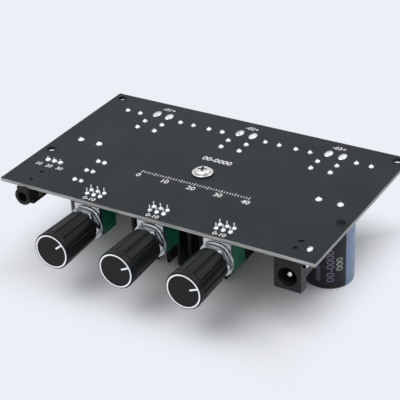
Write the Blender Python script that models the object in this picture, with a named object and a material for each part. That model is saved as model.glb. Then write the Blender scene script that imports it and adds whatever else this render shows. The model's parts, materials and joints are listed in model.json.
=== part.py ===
"""Audio amplifier board with three control knobs, lying solder side up on its tall capacitors.

Metres, +Z up. The floor is z = 0. Places on the board are measured from its front left corner,
X along the front edge and Y towards the back, and `at` turns them into world places.
"""
import math

import bmesh
import bpy
from mathutils import Matrix, Vector

for old in list(bpy.data.objects):
    bpy.data.objects.remove(old, do_unlink=True)

# Clearances
SEAT_GAP = 0.0003          # between two pieces that touch
LEAD_HOLE_GAP = 0.0003     # between a lead and its drilled hole

# Working margins of the cutting and joining helpers
CUT_MARGIN = 0.001         # how far a cutter stands out of what it cuts
JOIN_OVERLAP = 0.0004      # how far a joined shape reaches into its partner

# Board; its length and depth follow from the rows and columns of parts on it
BOARD_THICKNESS = 0.0012
BOARD_LEFT_MARGIN = 0.0087     # from the board's ends to the first and last choke
BOARD_RIGHT_MARGIN = 0.0073
BOARD_BACK_MARGIN = 0.0007     # behind the terminal blocks
MOUNT_HOLE_RADIUS = 0.0016
MOUNT_HOLE_INSET = 0.0032
MOUNT_HOLE_SPACING = 0.0438
MOUNT_RING_WIDTH = 0.0006      # tinned ring round each mounting hole
MOUNT_RING_RISE = 0.0001
ROUND_HOLE_SIDES = 16

# Tall capacitors, which set the height of everything else
TALL_CAP_RADIUS = 0.00825
TALL_CAP_LENGTH = 0.0254
TALL_CAP_STANDOFF = 0.0006
TALL_CAP_LEAD_PITCH = 0.0075
TALL_CAP_RIM = 0.0009
TALL_CAP_SEAL_DEPTH = 0.0016
TALL_CAP_END_RECESS = 0.0003
TALL_CAP_BEAD_DROP = 0.0030    # from the board end to the rolled bead
TALL_CAP_BEAD_WIDTH = 0.0016
TALL_CAP_BEAD_DEPTH = 0.0007
TALL_CAP_LEAD_RADIUS = 0.0004
TALL_CAP_PAD_RADIUS = 0.0012
TALL_CAP_LEFT_MARGIN = 0.00395
TALL_CAP_RIGHT_MARGIN = 0.00335
TALL_CAP_SET_BACK = {"left": 0.0023, "right": 0.0019}    # behind the heatsink's middle

COMPONENT_FACE = TALL_CAP_LENGTH + TALL_CAP_STANDOFF + SEAT_GAP
SOLDER_FACE = COMPONENT_FACE + BOARD_THICKNESS

# Leads and solder
LEAD_SIDES = 6
LEAD_RADIUS = 0.00032
LEAD_TAPER = 0.7
PAD_RADIUS = 0.00098
SOLDER_HEIGHT = 0.0009
LEAD_TIP = 0.0009          # how far an ordinary lead stands out of the board
LEAD_ROOT = 0.0006         # how far a lead is buried in its component

# Potentiometers
POT_PITCH = 0.02385
POT_NAMES = ("volume", "bass", "stereo")
POT_POINTER_DEG = {"volume": 39.0, "bass": 26.0, "stereo": 23.5}
POT_AXIS_DROP = 0.0065     # from the component face to the shaft axis
POT_WIDTH = 0.0095
POT_HEIGHT = 0.0127
POT_BODY_DEPTH = 0.0074
POT_WAFER_THICKNESS = 0.0013
POT_WAFER_STEP = 0.0003
POT_PLATE_THICKNESS = 0.0009
POT_STRAP_THICKNESS = 0.0004
POT_STRAP_WIDTH = 0.0020
POT_STRAP_OFFSET = 0.0026     # from the shaft axis, sideways
POT_HOOK_LENGTH = 0.0020
POT_PAD_RADIUS = 0.0009
POT_PIN_PITCH = 0.0025
POT_PIN_FIRST_ROW = 0.0042
POT_PIN_ROW_PITCH = 0.0024
POT_PIN_TIP = 0.0020
BUSHING_RADIUS = 0.0035
BUSHING_LENGTH = 0.0050
WASHER_RADIUS = 0.0060
WASHER_THICKNESS = 0.0005
NUT_ACROSS_FLATS = 0.0100
NUT_THICKNESS = 0.0018
NUT_CHAMFER = 0.0008
SHAFT_RADIUS = 0.0030
SHAFT_LENGTH = 0.0165      # in front of the plate
SHAFT_FLAT = 0.0015        # from the axis to the flat
SHAFT_SOCKET_DEPTH = 0.0030
SHAFT_RUNNING_GAP = 0.0003
SHAFT_STEP = 0.00005       # the flatted end is this much thinner

# Knobs
KNOB_LENGTH = 0.0167
KNOB_FRONT_RADIUS = 0.00625
KNOB_REAR_RADIUS = 0.00565
KNOB_FLUTES = 12
KNOB_FLUTE_WIDTH = 0.0011
KNOB_FLUTE_DEPTH = 0.0005
KNOB_FLUTE_RUN_OUT = 0.0004
KNOB_FLUTE_TURN_DEG = 11.0      # from the pointer to the nearest flute
KNOB_COLLAR = 0.0017       # smooth band in front of the groove
KNOB_GROOVE_WIDTH = 0.0006
KNOB_GROOVE_DEPTH = 0.0003
KNOB_EDGE = 0.0005         # chamfer between the skin and the bright ring
KNOB_RING_WIDTH = 0.0005
KNOB_FACE_RECESS = 0.0002
KNOB_POINTER_WIDTH = 0.0006
KNOB_POINTER_DEPTH = 0.0004
KNOB_POINTER_INNER = 0.0022

# Heatsink, with its screw
HEATSINK_GAP = 0.0055      # behind the controls
HEATSINK_OFFSET = 0.0004   # right of the middle channel
HEATSINK_WIDTH = 0.036
HEATSINK_DEPTH = 0.034
HEATSINK_HEIGHT = 0.022
HEATSINK_BASE = 0.0052
HEATSINK_FINS = 9
HEATSINK_FIN_ROOT = 0.0015
HEATSINK_FIN_TIP = 0.0010
SCREW_RADIUS = 0.0015
SCREW_HEAD_RADIUS = 0.0028
SCREW_HEAD_HEIGHT = 0.0017
SCREW_LENGTH = 0.0100
SCREW_CROSS_WIDTH = 0.0009
SCREW_CROSS_LENGTH = 0.0030
SCREW_CROSS_DEPTH = 0.0009
SCREW_TIP_CHAMFER = 0.0003
SCREW_HEAD_RIM = 0.00077
SCREW_HEAD_SHOULDER = (0.00252, 0.00133)      # radius, and height above the head's underside
SCREW_HEAD_CROWN_RADIUS = 0.00168
SCREW_WASHER_RADIUS = 0.0035
SCREW_WASHER_THICKNESS = 0.0005

# Chips
AMP_CHIP_INSET = 0.0075     # from the heatsink's side to the middle of a chip
AMP_CHIP_SIZE = (0.0103, 0.0075, 0.0023)
AMP_CHIP_LEADS = 8
AMP_CHIP_PITCH = 0.00127
OP_AMP_SIZE = (0.0049, 0.0039, 0.0015)
OP_AMP_LEADS = 4
OP_AMP_PITCH = 0.00127
OP_AMP_GAP = 0.0066        # from the heatsink's side to the chips' middle
OP_AMP_SET_BACK = {"front": 0.0067, "rear": 0.0192}      # behind the heatsink's front
CHIP_LEAD_REACH = 0.0010
CHIP_LEAD_WIDTH_SHARE = 0.45
CHIP_LEAD_THICKNESS = 0.0002
CHIP_STANDOFF = 0.0001
CHIP_BEVEL = 0.00025

# Speaker channels, each with a terminal block, two chokes and two film capacitors
CHANNEL_NAMES = ("right", "sub", "left")
CHANNEL_GAP = 0.0024       # between the chokes of two channels
TERMINAL_GAP = 0.0013      # behind the film capacitors
TERMINAL_PIN_PITCH = 0.00508
TERMINAL_WIDTH = 0.0102
TERMINAL_FRONT_REACH = 0.0042
TERMINAL_BACK_REACH = 0.0080
TERMINAL_HEIGHT = 0.0140
TERMINAL_STEP_HEIGHT = 0.0100
TERMINAL_STEP_BACK = 0.0045
TERMINAL_LEDGE = 0.0011
TERMINAL_CHAMFER = 0.0008
TERMINAL_FLOOR = 0.0028
CLAMP_WIDTH = 0.0031
CLAMP_DEPTH = 0.0042
CLAMP_HEIGHT = 0.0046
CLAMP_WALL = 0.0006
CLAMP_SCREW_RADIUS = 0.0012
CLAMP_HEAD_RADIUS = 0.0016
CLAMP_HEAD_HEIGHT = 0.0018
CLAMP_SCREW_RISE = 0.0014
CLAMP_SLOT_WIDTH = 0.0005
CLAMP_SLOT_DEPTH = 0.0007
CLAMP_PIN_RADIUS = 0.0006
CLAMP_PAD = (0.0013, 0.0021)
CHOKE_GAP = 0.0014         # beside the terminal block
CHOKE_SET_FORWARD = 0.0021     # in front of the terminal pins
CHOKE_PIN_PITCH = 0.0053
CHOKE_RADIUS = 0.0046
CHOKE_WINDING_RADIUS = 0.0041
CHOKE_HEIGHT = 0.0110
CHOKE_FLANGE = 0.0014
CHOKE_EDGE = 0.0004
FILM_GAP = 0.0008          # behind the heatsink
FILM_SPACING = 0.0035      # between the two of a channel
FILM_LEAD_PITCH = 0.0050
FILM_SIZE = (0.0035, 0.0072, 0.0075)
FILM_BEVEL = 0.0004

# Small capacitors
SMALL_CAP_GAP = 0.0005     # between two of them
SMALL_CAP_POT_GAP = 0.00225
SMALL_CAP_FRONT_MARGIN = 0.00675
SMALL_CAP_COUNT = 3
SMALL_CAP_RADIUS = 0.00315
SMALL_CAP_LENGTH = 0.0112
SMALL_CAP_RIM = 0.0005
SMALL_CAP_END_RECESS = 0.0002
SMALL_CAP_LEAD_PITCH = 0.0025

# Pin header
HEADER_GAP = 0.0053        # from the signal jack's back to the pins
HEADER_OFFSET = -0.00045   # from the signal jack's middle
HEADER_PITCH = 0.00254
HEADER_PINS = 3
HEADER_STRIP = 0.0025
HEADER_PIN_HALF = 0.00032
HEADER_PIN_REACH = 0.0085

# Power jack
POWER_JACK_MARGIN = 0.0046     # from the board's right end
POWER_JACK_WIDTH = 0.0090
POWER_JACK_FRONT_DEPTH = 0.0034
POWER_JACK_DEPTH = 0.0142
POWER_JACK_HEIGHT = 0.0103
POWER_JACK_BARREL_RADIUS = 0.0040
POWER_JACK_AXIS_DROP = 0.0060
POWER_JACK_BORE_RADIUS = 0.00315
POWER_JACK_BORE_DEPTH = 0.0095
POWER_JACK_PIN_RADIUS = 0.00105
POWER_JACK_PIN_SET_BACK = 0.0012
POWER_JACK_PIN_FLANGE = 0.0018
POWER_JACK_PIN_TAPER = 0.0005
POWER_JACK_PEG_Y = (0.0051, 0.0093)
POWER_JACK_PEG_RADIUS = 0.0007
POWER_JACK_LUG_X = 0.0042
POWER_JACK_LUG_Y = 0.0065
POWER_JACK_LUG_HALF = 0.0004
POWER_JACK_LUG_PAD = (0.0008, 0.0012)
POWER_JACK_SHOULDER_STEP = 0.0002

# Signal jack
SIGNAL_JACK_MARGIN = 0.00665   # from the board's left end
SIGNAL_JACK_WIDTH = 0.0064
SIGNAL_JACK_DEPTH = 0.0118
SIGNAL_JACK_HEIGHT = 0.0050
SIGNAL_JACK_BARREL_RADIUS = 0.0030
SIGNAL_JACK_BARREL_REACH = 0.0019
SIGNAL_JACK_AXIS_DROP = 0.0027
SIGNAL_JACK_CHAMFER = 0.0003
SIGNAL_JACK_CLEARANCE = 0.0001     # from the board's front edge to the nose behind it
SIGNAL_JACK_BORE_RADIUS = 0.0018
SIGNAL_JACK_BORE_DEPTH = 0.0105
SIGNAL_JACK_PEG_Y = (0.0037, 0.0094)
SIGNAL_JACK_PEG_RADIUS = 0.00045
SIGNAL_CONTACT_YS = {"front": 0.0022, "rear": 0.0080}
SIGNAL_CONTACT_LENGTH = 0.0022
SIGNAL_CONTACT_THICKNESS = 0.0003
SIGNAL_CONTACT_FOOT = 0.0012
SIGNAL_CONTACT_HEIGHT = 0.0034

# Rows from the front edge to the back: controls, heatsink, film capacitors, terminal blocks
POT_REACH = POT_PLATE_THICKNESS + POT_BODY_DEPTH + 2 * SEAT_GAP + POT_STRAP_THICKNESS
HEATSINK_FRONT = POT_REACH + HEATSINK_GAP
HEATSINK_Y = HEATSINK_FRONT + HEATSINK_DEPTH / 2
FILM_Y = HEATSINK_FRONT + HEATSINK_DEPTH + FILM_GAP + FILM_SIZE[1] / 2
TERMINAL_PIN_Y = FILM_Y + FILM_SIZE[1] / 2 + TERMINAL_GAP + TERMINAL_FRONT_REACH
CHOKE_Y = TERMINAL_PIN_Y - CHOKE_SET_FORWARD
BOARD_DEPTH = TERMINAL_PIN_Y + TERMINAL_BACK_REACH + BOARD_BACK_MARGIN
SMALL_CAP_Y = SMALL_CAP_FRONT_MARGIN + SMALL_CAP_RADIUS
HEADER_Y = SIGNAL_JACK_DEPTH + HEADER_GAP

# Columns from the left end to the right: the chokes set the channels' pitch, and that the board's length
CHOKE_OFFSET = TERMINAL_WIDTH / 2 + CHOKE_GAP + CHOKE_RADIUS
CHANNEL_HALF = CHOKE_OFFSET + CHOKE_RADIUS
CHANNEL_PITCH = 2 * CHANNEL_HALF + CHANNEL_GAP
CHANNEL_MID_X = BOARD_LEFT_MARGIN + CHANNEL_HALF + CHANNEL_PITCH
BOARD_LENGTH = CHANNEL_MID_X + CHANNEL_PITCH + CHANNEL_HALF + BOARD_RIGHT_MARGIN
FILM_OFFSET = (FILM_SIZE[0] + FILM_SPACING) / 2
POT_MID_X = CHANNEL_MID_X
HEATSINK_X = CHANNEL_MID_X + HEATSINK_OFFSET
OP_AMP_X = HEATSINK_X - HEATSINK_WIDTH / 2 - OP_AMP_GAP
SMALL_CAP_X = POT_MID_X - POT_PITCH - POT_WIDTH / 2 - SMALL_CAP_POT_GAP - SMALL_CAP_RADIUS
SIGNAL_JACK_X = SIGNAL_JACK_MARGIN + SIGNAL_JACK_WIDTH / 2
HEADER_X = SIGNAL_JACK_X + HEADER_OFFSET
POWER_JACK_X = BOARD_LENGTH - POWER_JACK_MARGIN - POWER_JACK_WIDTH / 2
TALL_CAP_XS = {"left": TALL_CAP_LEFT_MARGIN + TALL_CAP_RADIUS,
               "right": BOARD_LENGTH - TALL_CAP_RIGHT_MARGIN - TALL_CAP_RADIUS}

# Reach of the knobs in front of the board's edge, and the origin that follows from it
WASHER_BACK = SEAT_GAP
NUT_BACK = WASHER_BACK + WASHER_THICKNESS + SEAT_GAP
KNOB_BACK = NUT_BACK + NUT_THICKNESS + SEAT_GAP
KNOB_REACH = KNOB_BACK + KNOB_LENGTH
ORIGIN_X = BOARD_LENGTH / 2
ORIGIN_Y = (BOARD_DEPTH - KNOB_REACH) / 2

drilled = []               # every hole through the board: x, y, half widths


def at(x, y, z):
    """World place of a point given from the board's front left corner."""
    return Vector((x - ORIGIN_X, y - ORIGIN_Y, z))


def below(drop):
    """Height of a level that lies `drop` under the component face."""
    return COMPONENT_FACE - drop


def material(name, colour, roughness, metallic=0.0):
    """A Principled material in one colour."""
    made = bpy.data.materials.new(name)
    made.use_nodes = True
    shader = made.node_tree.nodes["Principled BSDF"]
    shader.inputs["Base Color"].default_value = (*colour, 1.0)
    shader.inputs["Roughness"].default_value = roughness
    shader.inputs["Metallic"].default_value = metallic
    return made


MASK = material("black_solder_mask", (0.050, 0.054, 0.060), 0.45)
ANODISED = material("black_anodised_aluminium", (0.020, 0.021, 0.022), 0.38, 0.7)
STEEL = material("bright_plated_steel", (0.62, 0.62, 0.60), 0.28, 1.0)
SLEEVE = material("dark_capacitor_sleeve", (0.030, 0.032, 0.040), 0.35)
RUBBER = material("black_rubber", (0.020, 0.020, 0.020), 0.75)
WAFER = material("green_laminate", (0.010, 0.130, 0.060), 0.50)
PLASTIC = material("black_moulded_plastic", (0.020, 0.020, 0.021), 0.45)
TERMINAL = material("green_moulded_plastic", (0.020, 0.200, 0.070), 0.45)
FERRITE = material("dark_ferrite_and_winding", (0.060, 0.035, 0.025), 0.50)
FILM = material("red_dipped_film", (0.330, 0.030, 0.020), 0.35)
EPOXY = material("black_chip_epoxy", (0.022, 0.022, 0.024), 0.60)
BRASS = material("plated_brass", (0.500, 0.430, 0.220), 0.35, 1.0)


def make(name, bm, finish, smooth_deg=40.0):
    """Turn a bmesh into a named object with outward faces."""
    bmesh.ops.remove_doubles(bm, verts=bm.verts, dist=1e-6)
    bmesh.ops.recalc_face_normals(bm, faces=bm.faces)
    mesh = bpy.data.meshes.new(name)
    bm.to_mesh(mesh)
    bm.free()
    mesh.materials.append(finish)
    mesh.shade_smooth()
    mesh.set_sharp_from_angle(angle=math.radians(smooth_deg))
    made = bpy.data.objects.new(name, mesh)
    bpy.context.scene.collection.objects.link(made)
    return made


def boolean(target, bm, operation):
    """Cut or join a shape that stays as a hidden helper."""
    helper = make(f"{target.name}_{operation.lower()}_{len(target.modifiers)}", bm, target.data.materials[0])
    helper.parent = target
    helper.hide_render = True
    helper.display_type = "WIRE"
    change = target.modifiers.new(operation.title(), "BOOLEAN")
    change.operation = operation
    change.solver = "EXACT"
    change.object = helper


def add_block(bm, low, high):
    """A box between two corners."""
    size = [b - a for a, b in zip(low, high)]
    middle = [(a + b) / 2 for a, b in zip(low, high)]
    shape = Matrix.Translation(middle) @ Matrix.Diagonal((*size, 1.0))
    return bmesh.ops.create_cube(bm, size=1.0, matrix=shape)["verts"]


def block(low, high):
    """A box as a new bmesh."""
    bm = bmesh.new()
    add_block(bm, low, high)
    return bm


def add_prism(bm, points, run):
    """A flat outline of world points pushed along `run`."""
    face = bm.faces.new([bm.verts.new(point) for point in points])
    swept = bmesh.ops.extrude_face_region(bm, geom=[face])["geom"]
    moved = [item for item in swept if isinstance(item, bmesh.types.BMVert)]
    bmesh.ops.translate(bm, verts=moved, vec=run)


def prism(points, run):
    """A pushed outline as a new bmesh."""
    bm = bmesh.new()
    add_prism(bm, points, run)
    return bm


def add_turned(bm, profile, place, sides, axis="Z"):
    """Spin a profile of (radius, height) pairs; one that does not start and end on the axis is a ring."""
    made = [bm.verts.new((radius, 0.0, height)) for radius, height in profile]
    closed = profile[0][0] > 0 and profile[-1][0] > 0
    pairs = list(zip(made, made[1:])) + ([(made[-1], made[0])] if closed else [])
    edges = [bm.edges.new(pair) for pair in pairs]
    before = set(bm.verts) - set(made)
    bmesh.ops.spin(bm, geom=made + edges, cent=(0, 0, 0), axis=(0, 0, 1), dvec=(0, 0, 0),
                   angle=2 * math.pi, steps=sides, use_merge=True)
    fresh = [vert for vert in bm.verts if vert not in before]
    if axis == "Y":
        bmesh.ops.rotate(bm, verts=fresh, cent=(0, 0, 0), matrix=Matrix.Rotation(-math.pi / 2, 3, "X"))
    bmesh.ops.translate(bm, verts=fresh, vec=place)
    return fresh


def turned(profile, place, sides, axis="Z"):
    """A spun profile as a new bmesh."""
    bm = bmesh.new()
    add_turned(bm, profile, place, sides, axis)
    return bm


def rod(radius, low, high):
    """Profile of a plain round bar."""
    return [(0.0, low), (radius, low), (radius, high), (0.0, high)]


def drill(x, y, half_x, half_y=None):
    """Note a hole that the board gets, with its half widths."""
    drilled.append((x, y, half_x, half_y or half_x))


def add_lead(bm, x, y, root, radius=LEAD_RADIUS, pad=(PAD_RADIUS, PAD_RADIUS), tip=LEAD_TIP):
    """A wire from `root` up through the board, with the cone of solder that holds it."""
    foot = SOLDER_FACE + SEAT_GAP
    crown = foot + SOLDER_HEIGHT
    profile = [(0.0, root), (radius, root), (radius, foot), (pad[0], foot), (radius, crown)]
    if tip > SOLDER_HEIGHT:
        profile.append((radius * LEAD_TAPER, foot + tip))
    profile.append((0.0, foot + max(tip, SOLDER_HEIGHT)))
    fresh = add_turned(bm, profile, at(x, y, 0.0), LEAD_SIDES)
    centre = at(x, y, 0.0)
    stretch = pad[1] / pad[0]
    for vert in fresh:
        if math.hypot(vert.co.x - centre.x, vert.co.y - centre.y) > radius * 1.05:
            vert.co.y = centre.y + (vert.co.y - centre.y) * stretch
    hole = (radius + LEAD_HOLE_GAP) / math.cos(math.pi / LEAD_SIDES)
    drill(x, y, hole)


def soldered(target, places, root, **sizes):
    """Join leads at all the places to their component."""
    bm = bmesh.new()
    for x, y in places:
        add_lead(bm, x, y, root, **sizes)
    boolean(target, bm, "UNION")


def row(middle, pitch, count):
    """Evenly spaced values about a middle."""
    return [middle + (index - (count - 1) / 2) * pitch for index in range(count)]


# Tall capacitors: a can with a rolled rim, open at the board end where the rubber seal sits
def tall_capacitor(side, x, y):
    radius = TALL_CAP_RADIUS
    rim = TALL_CAP_RIM
    top = TALL_CAP_LENGTH
    bead = top - TALL_CAP_BEAD_DROP
    bead_half = TALL_CAP_BEAD_WIDTH / 2
    seal_radius = radius - 2 * rim
    floor = top - TALL_CAP_SEAL_DEPTH
    arc = [(radius - rim + rim * math.sin(turn), rim - rim * math.cos(turn))
           for turn in (math.radians(step) for step in (0, 45, 90))]
    recess = TALL_CAP_END_RECESS
    profile = [(0.0, recess), (seal_radius - recess, recess), (seal_radius, 0.0)] + arc + [
        (radius, bead - bead_half), (radius - TALL_CAP_BEAD_DEPTH, bead), (radius, bead + bead_half),
        (radius, top - rim / 2), (radius - rim / 2, top), (seal_radius, top),
        (seal_radius, floor), (0.0, floor)]
    make(f"power_capacitor_{side}_can", turned(profile, at(x, y, 0.0), 20), SLEEVE)
    plug = [(0.0, floor + SEAT_GAP), (seal_radius - SEAT_GAP, floor + SEAT_GAP),
            (seal_radius - SEAT_GAP, top + TALL_CAP_STANDOFF), (0.0, top + TALL_CAP_STANDOFF)]
    seal = make(f"power_capacitor_{side}_seal", turned(plug, at(x, y, 0.0), 12), RUBBER)
    places = [(lead_x, y) for lead_x in row(x, TALL_CAP_LEAD_PITCH, 2)]
    pad = (TALL_CAP_PAD_RADIUS, TALL_CAP_PAD_RADIUS)
    soldered(seal, places, below(SEAT_GAP + LEAD_ROOT), radius=TALL_CAP_LEAD_RADIUS, pad=pad)


for cap_side, cap_x in TALL_CAP_XS.items():
    tall_capacitor(cap_side, cap_x, HEATSINK_Y + TALL_CAP_SET_BACK[cap_side])


# Small capacitors: a sleeved can whose rim is rolled in at the board end
def small_capacitor(number, y):
    radius = SMALL_CAP_RADIUS
    rim = SMALL_CAP_RIM
    high = below(SEAT_GAP)
    low = high - SMALL_CAP_LENGTH
    recess = low + SMALL_CAP_END_RECESS
    profile = [(0.0, recess), (radius - 2 * rim, recess), (radius - rim, low), (radius, low + rim),
               (radius, high - 4 * rim), (radius - rim, high - 3 * rim), (radius, high - 2 * rim),
               (radius, high), (0.0, high)]
    can = make(f"small_capacitor_{number}", turned(profile, at(SMALL_CAP_X, y, 0.0), 12), SLEEVE)
    places = [(lead_x, y) for lead_x in row(SMALL_CAP_X, SMALL_CAP_LEAD_PITCH, 2)]
    soldered(can, places, high - LEAD_ROOT)


for cap_index in range(SMALL_CAP_COUNT):
    small_capacitor(cap_index + 1, SMALL_CAP_Y + cap_index * (2 * SMALL_CAP_RADIUS + SMALL_CAP_GAP))


# Chokes: a ferrite drum, narrower where its turns of wire lie
def choke(name, x):
    high = below(SEAT_GAP)
    low = high - CHOKE_HEIGHT
    profile = [(0.0, low), (CHOKE_RADIUS - CHOKE_EDGE, low), (CHOKE_RADIUS, low + CHOKE_EDGE),
               (CHOKE_RADIUS, low + CHOKE_FLANGE), (CHOKE_WINDING_RADIUS, low + CHOKE_FLANGE),
               (CHOKE_WINDING_RADIUS, high - CHOKE_FLANGE), (CHOKE_RADIUS, high - CHOKE_FLANGE),
               (CHOKE_RADIUS, high), (0.0, high)]
    drum = make(name, turned(profile, at(x, CHOKE_Y, 0.0), 12), FERRITE)
    soldered(drum, [(pin_x, CHOKE_Y) for pin_x in row(x, CHOKE_PIN_PITCH, 2)], high - LEAD_ROOT)


# Film capacitors: a dipped block with rounded edges, standing on two wires
def film_capacitor(name, x):
    half_x, half_y = FILM_SIZE[0] / 2, FILM_SIZE[1] / 2
    high = below(SEAT_GAP)
    bm = block(at(x - half_x, FILM_Y - half_y, high - FILM_SIZE[2]), at(x + half_x, FILM_Y + half_y, high))
    bmesh.ops.bevel(bm, geom=bm.edges[:], offset=FILM_BEVEL, segments=1, affect="EDGES")
    body = make(name, bm, FILM)
    soldered(body, [(x, lead_y) for lead_y in row(FILM_Y, FILM_LEAD_PITCH, 2)], high - LEAD_ROOT)


# Terminal blocks: a stepped housing with two wire ways, and a screw clamp in each
def terminal_block(name, x):
    front, back = TERMINAL_PIN_Y - TERMINAL_FRONT_REACH, TERMINAL_PIN_Y + TERMINAL_BACK_REACH
    left = x - TERMINAL_WIDTH / 2
    high = below(SEAT_GAP)
    low = below(TERMINAL_HEIGHT)
    step = below(TERMINAL_STEP_HEIGHT)
    chamfer = TERMINAL_CHAMFER
    outline = [(front, high), (back, high), (back, step), (back - TERMINAL_LEDGE, step),
               (back - TERMINAL_STEP_BACK, low), (front + chamfer, low), (front, low + chamfer)]
    housing = make(name, prism([at(left, y, z) for y, z in outline], (TERMINAL_WIDTH, 0.0, 0.0)), TERMINAL)
    half = CLAMP_WIDTH / 2 + SEAT_GAP
    cage_low = below(TERMINAL_FLOOR + 2 * SEAT_GAP + CLAMP_HEIGHT)
    ways = bmesh.new()
    wells = bmesh.new()
    for pole_x in row(x, TERMINAL_PIN_PITCH, 2):
        add_block(ways, at(pole_x - half, TERMINAL_PIN_Y - CLAMP_DEPTH / 2 - SEAT_GAP, cage_low),
                  at(pole_x + half, back + CUT_MARGIN, below(TERMINAL_FLOOR)))
        well = CLAMP_HEAD_RADIUS + SEAT_GAP
        pole = at(pole_x, TERMINAL_PIN_Y, 0.0)
        add_turned(wells, rod(well, low - CUT_MARGIN, cage_low + JOIN_OVERLAP), pole, 8)
        pin_way = (CLAMP_PIN_RADIUS + SEAT_GAP) / math.cos(math.pi / LEAD_SIDES)
        pin_start = below(TERMINAL_FLOOR) - JOIN_OVERLAP
        add_turned(wells, rod(pin_way, pin_start, high + CUT_MARGIN), pole, LEAD_SIDES)
    boolean(housing, ways, "DIFFERENCE")
    boolean(housing, wells, "DIFFERENCE")
    for number, pole_x in enumerate(row(x, TERMINAL_PIN_PITCH, 2), start=1):
        clamp(f"{name}_clamp_{number}", pole_x)


def clamp(name, x):
    """A square cage round the wire, its slotted screw, and the pin that goes through the board."""
    high = below(TERMINAL_FLOOR + SEAT_GAP)
    low = high - CLAMP_HEIGHT
    half_x, half_y = CLAMP_WIDTH / 2, CLAMP_DEPTH / 2
    front, back = TERMINAL_PIN_Y - half_y, TERMINAL_PIN_Y + half_y
    outside = block(at(x - half_x, front, low), at(x + half_x, back, high))
    cage = make(name, outside, STEEL)
    mouth_half = half_x - CLAMP_WALL
    mouth = block(at(x - mouth_half, front - CUT_MARGIN, low + 2 * CLAMP_WALL),
                  at(x + mouth_half, back + CUT_MARGIN, high - CLAMP_WALL))
    boolean(cage, mouth, "DIFFERENCE")
    head_top = low - CLAMP_SCREW_RISE
    screw = [(0.0, head_top - CLAMP_HEAD_HEIGHT), (CLAMP_HEAD_RADIUS, head_top - CLAMP_HEAD_HEIGHT),
             (CLAMP_HEAD_RADIUS, head_top), (CLAMP_SCREW_RADIUS, head_top),
             (CLAMP_SCREW_RADIUS, low + 3 * CLAMP_WALL), (0.0, low + 3 * CLAMP_WALL)]
    boolean(cage, turned(screw, at(x, TERMINAL_PIN_Y, 0.0), 8), "UNION")
    head_low = head_top - CLAMP_HEAD_HEIGHT
    slot_half = CLAMP_SLOT_WIDTH / 2
    slot = block(at(x - 2 * CLAMP_HEAD_RADIUS, TERMINAL_PIN_Y - slot_half, head_low - CLAMP_SLOT_DEPTH),
                 at(x + 2 * CLAMP_HEAD_RADIUS, TERMINAL_PIN_Y + slot_half, head_low + CLAMP_SLOT_DEPTH))
    boolean(cage, slot, "DIFFERENCE")
    soldered(cage, [(x, TERMINAL_PIN_Y)], high - CLAMP_WALL / 2, radius=CLAMP_PIN_RADIUS, pad=CLAMP_PAD)


for channel, channel_x in zip(CHANNEL_NAMES, row(CHANNEL_MID_X, CHANNEL_PITCH, 3)):
    terminal_block(f"terminal_block_{channel}", channel_x)
    for pole, offset in (("a", -1), ("b", 1)):
        choke(f"choke_{channel}_{pole}", channel_x + offset * CHOKE_OFFSET)
        film_capacitor(f"film_capacitor_{channel}_{pole}", channel_x + offset * FILM_OFFSET)


# Chips: a flat body with a comb of leads along two sides
def chip(name, x, y, size, leads, pitch, along="X"):
    half_long, half_across = size[0] / 2, size[1] / 2
    high = below(SEAT_GAP)
    reach = half_across + CHIP_LEAD_REACH
    bm = block(at(x - half_long, y - half_across, high - size[2]),
               at(x + half_long, y + half_across, high - CHIP_STANDOFF))
    outer_edges = [edge for edge in bm.edges if all(vert.co.z < high - size[2] / 2 for vert in edge.verts)]
    bmesh.ops.bevel(bm, geom=outer_edges, offset=CHIP_BEVEL, segments=1, affect="EDGES")
    comb = bmesh.new()
    half = pitch * CHIP_LEAD_WIDTH_SHARE / 2
    for lead_x in row(x, pitch, leads):
        low = high - CHIP_LEAD_THICKNESS
        add_block(comb, at(lead_x - half, y - reach, low), at(lead_x + half, y + reach, high))
    turn = Matrix.Rotation(math.pi / 2, 3, "Z") if along == "Y" else Matrix.Identity(3)
    for shape in (bm, comb):
        bmesh.ops.rotate(shape, verts=shape.verts, cent=at(x, y, 0.0), matrix=turn)
    body = make(name, bm, EPOXY)
    boolean(body, comb, "UNION")


amp_chip_reach = HEATSINK_WIDTH / 2 - AMP_CHIP_INSET
for chip_name, chip_side in (("left", -1), ("right", 1)):
    chip(f"amplifier_chip_{chip_name}", HEATSINK_X + chip_side * amp_chip_reach, HEATSINK_Y,
         AMP_CHIP_SIZE, AMP_CHIP_LEADS, AMP_CHIP_PITCH, along="Y")
for chip_name, set_back in OP_AMP_SET_BACK.items():
    chip(f"op_amp_{chip_name}", OP_AMP_X, HEATSINK_FRONT + set_back, OP_AMP_SIZE, OP_AMP_LEADS, OP_AMP_PITCH)


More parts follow.
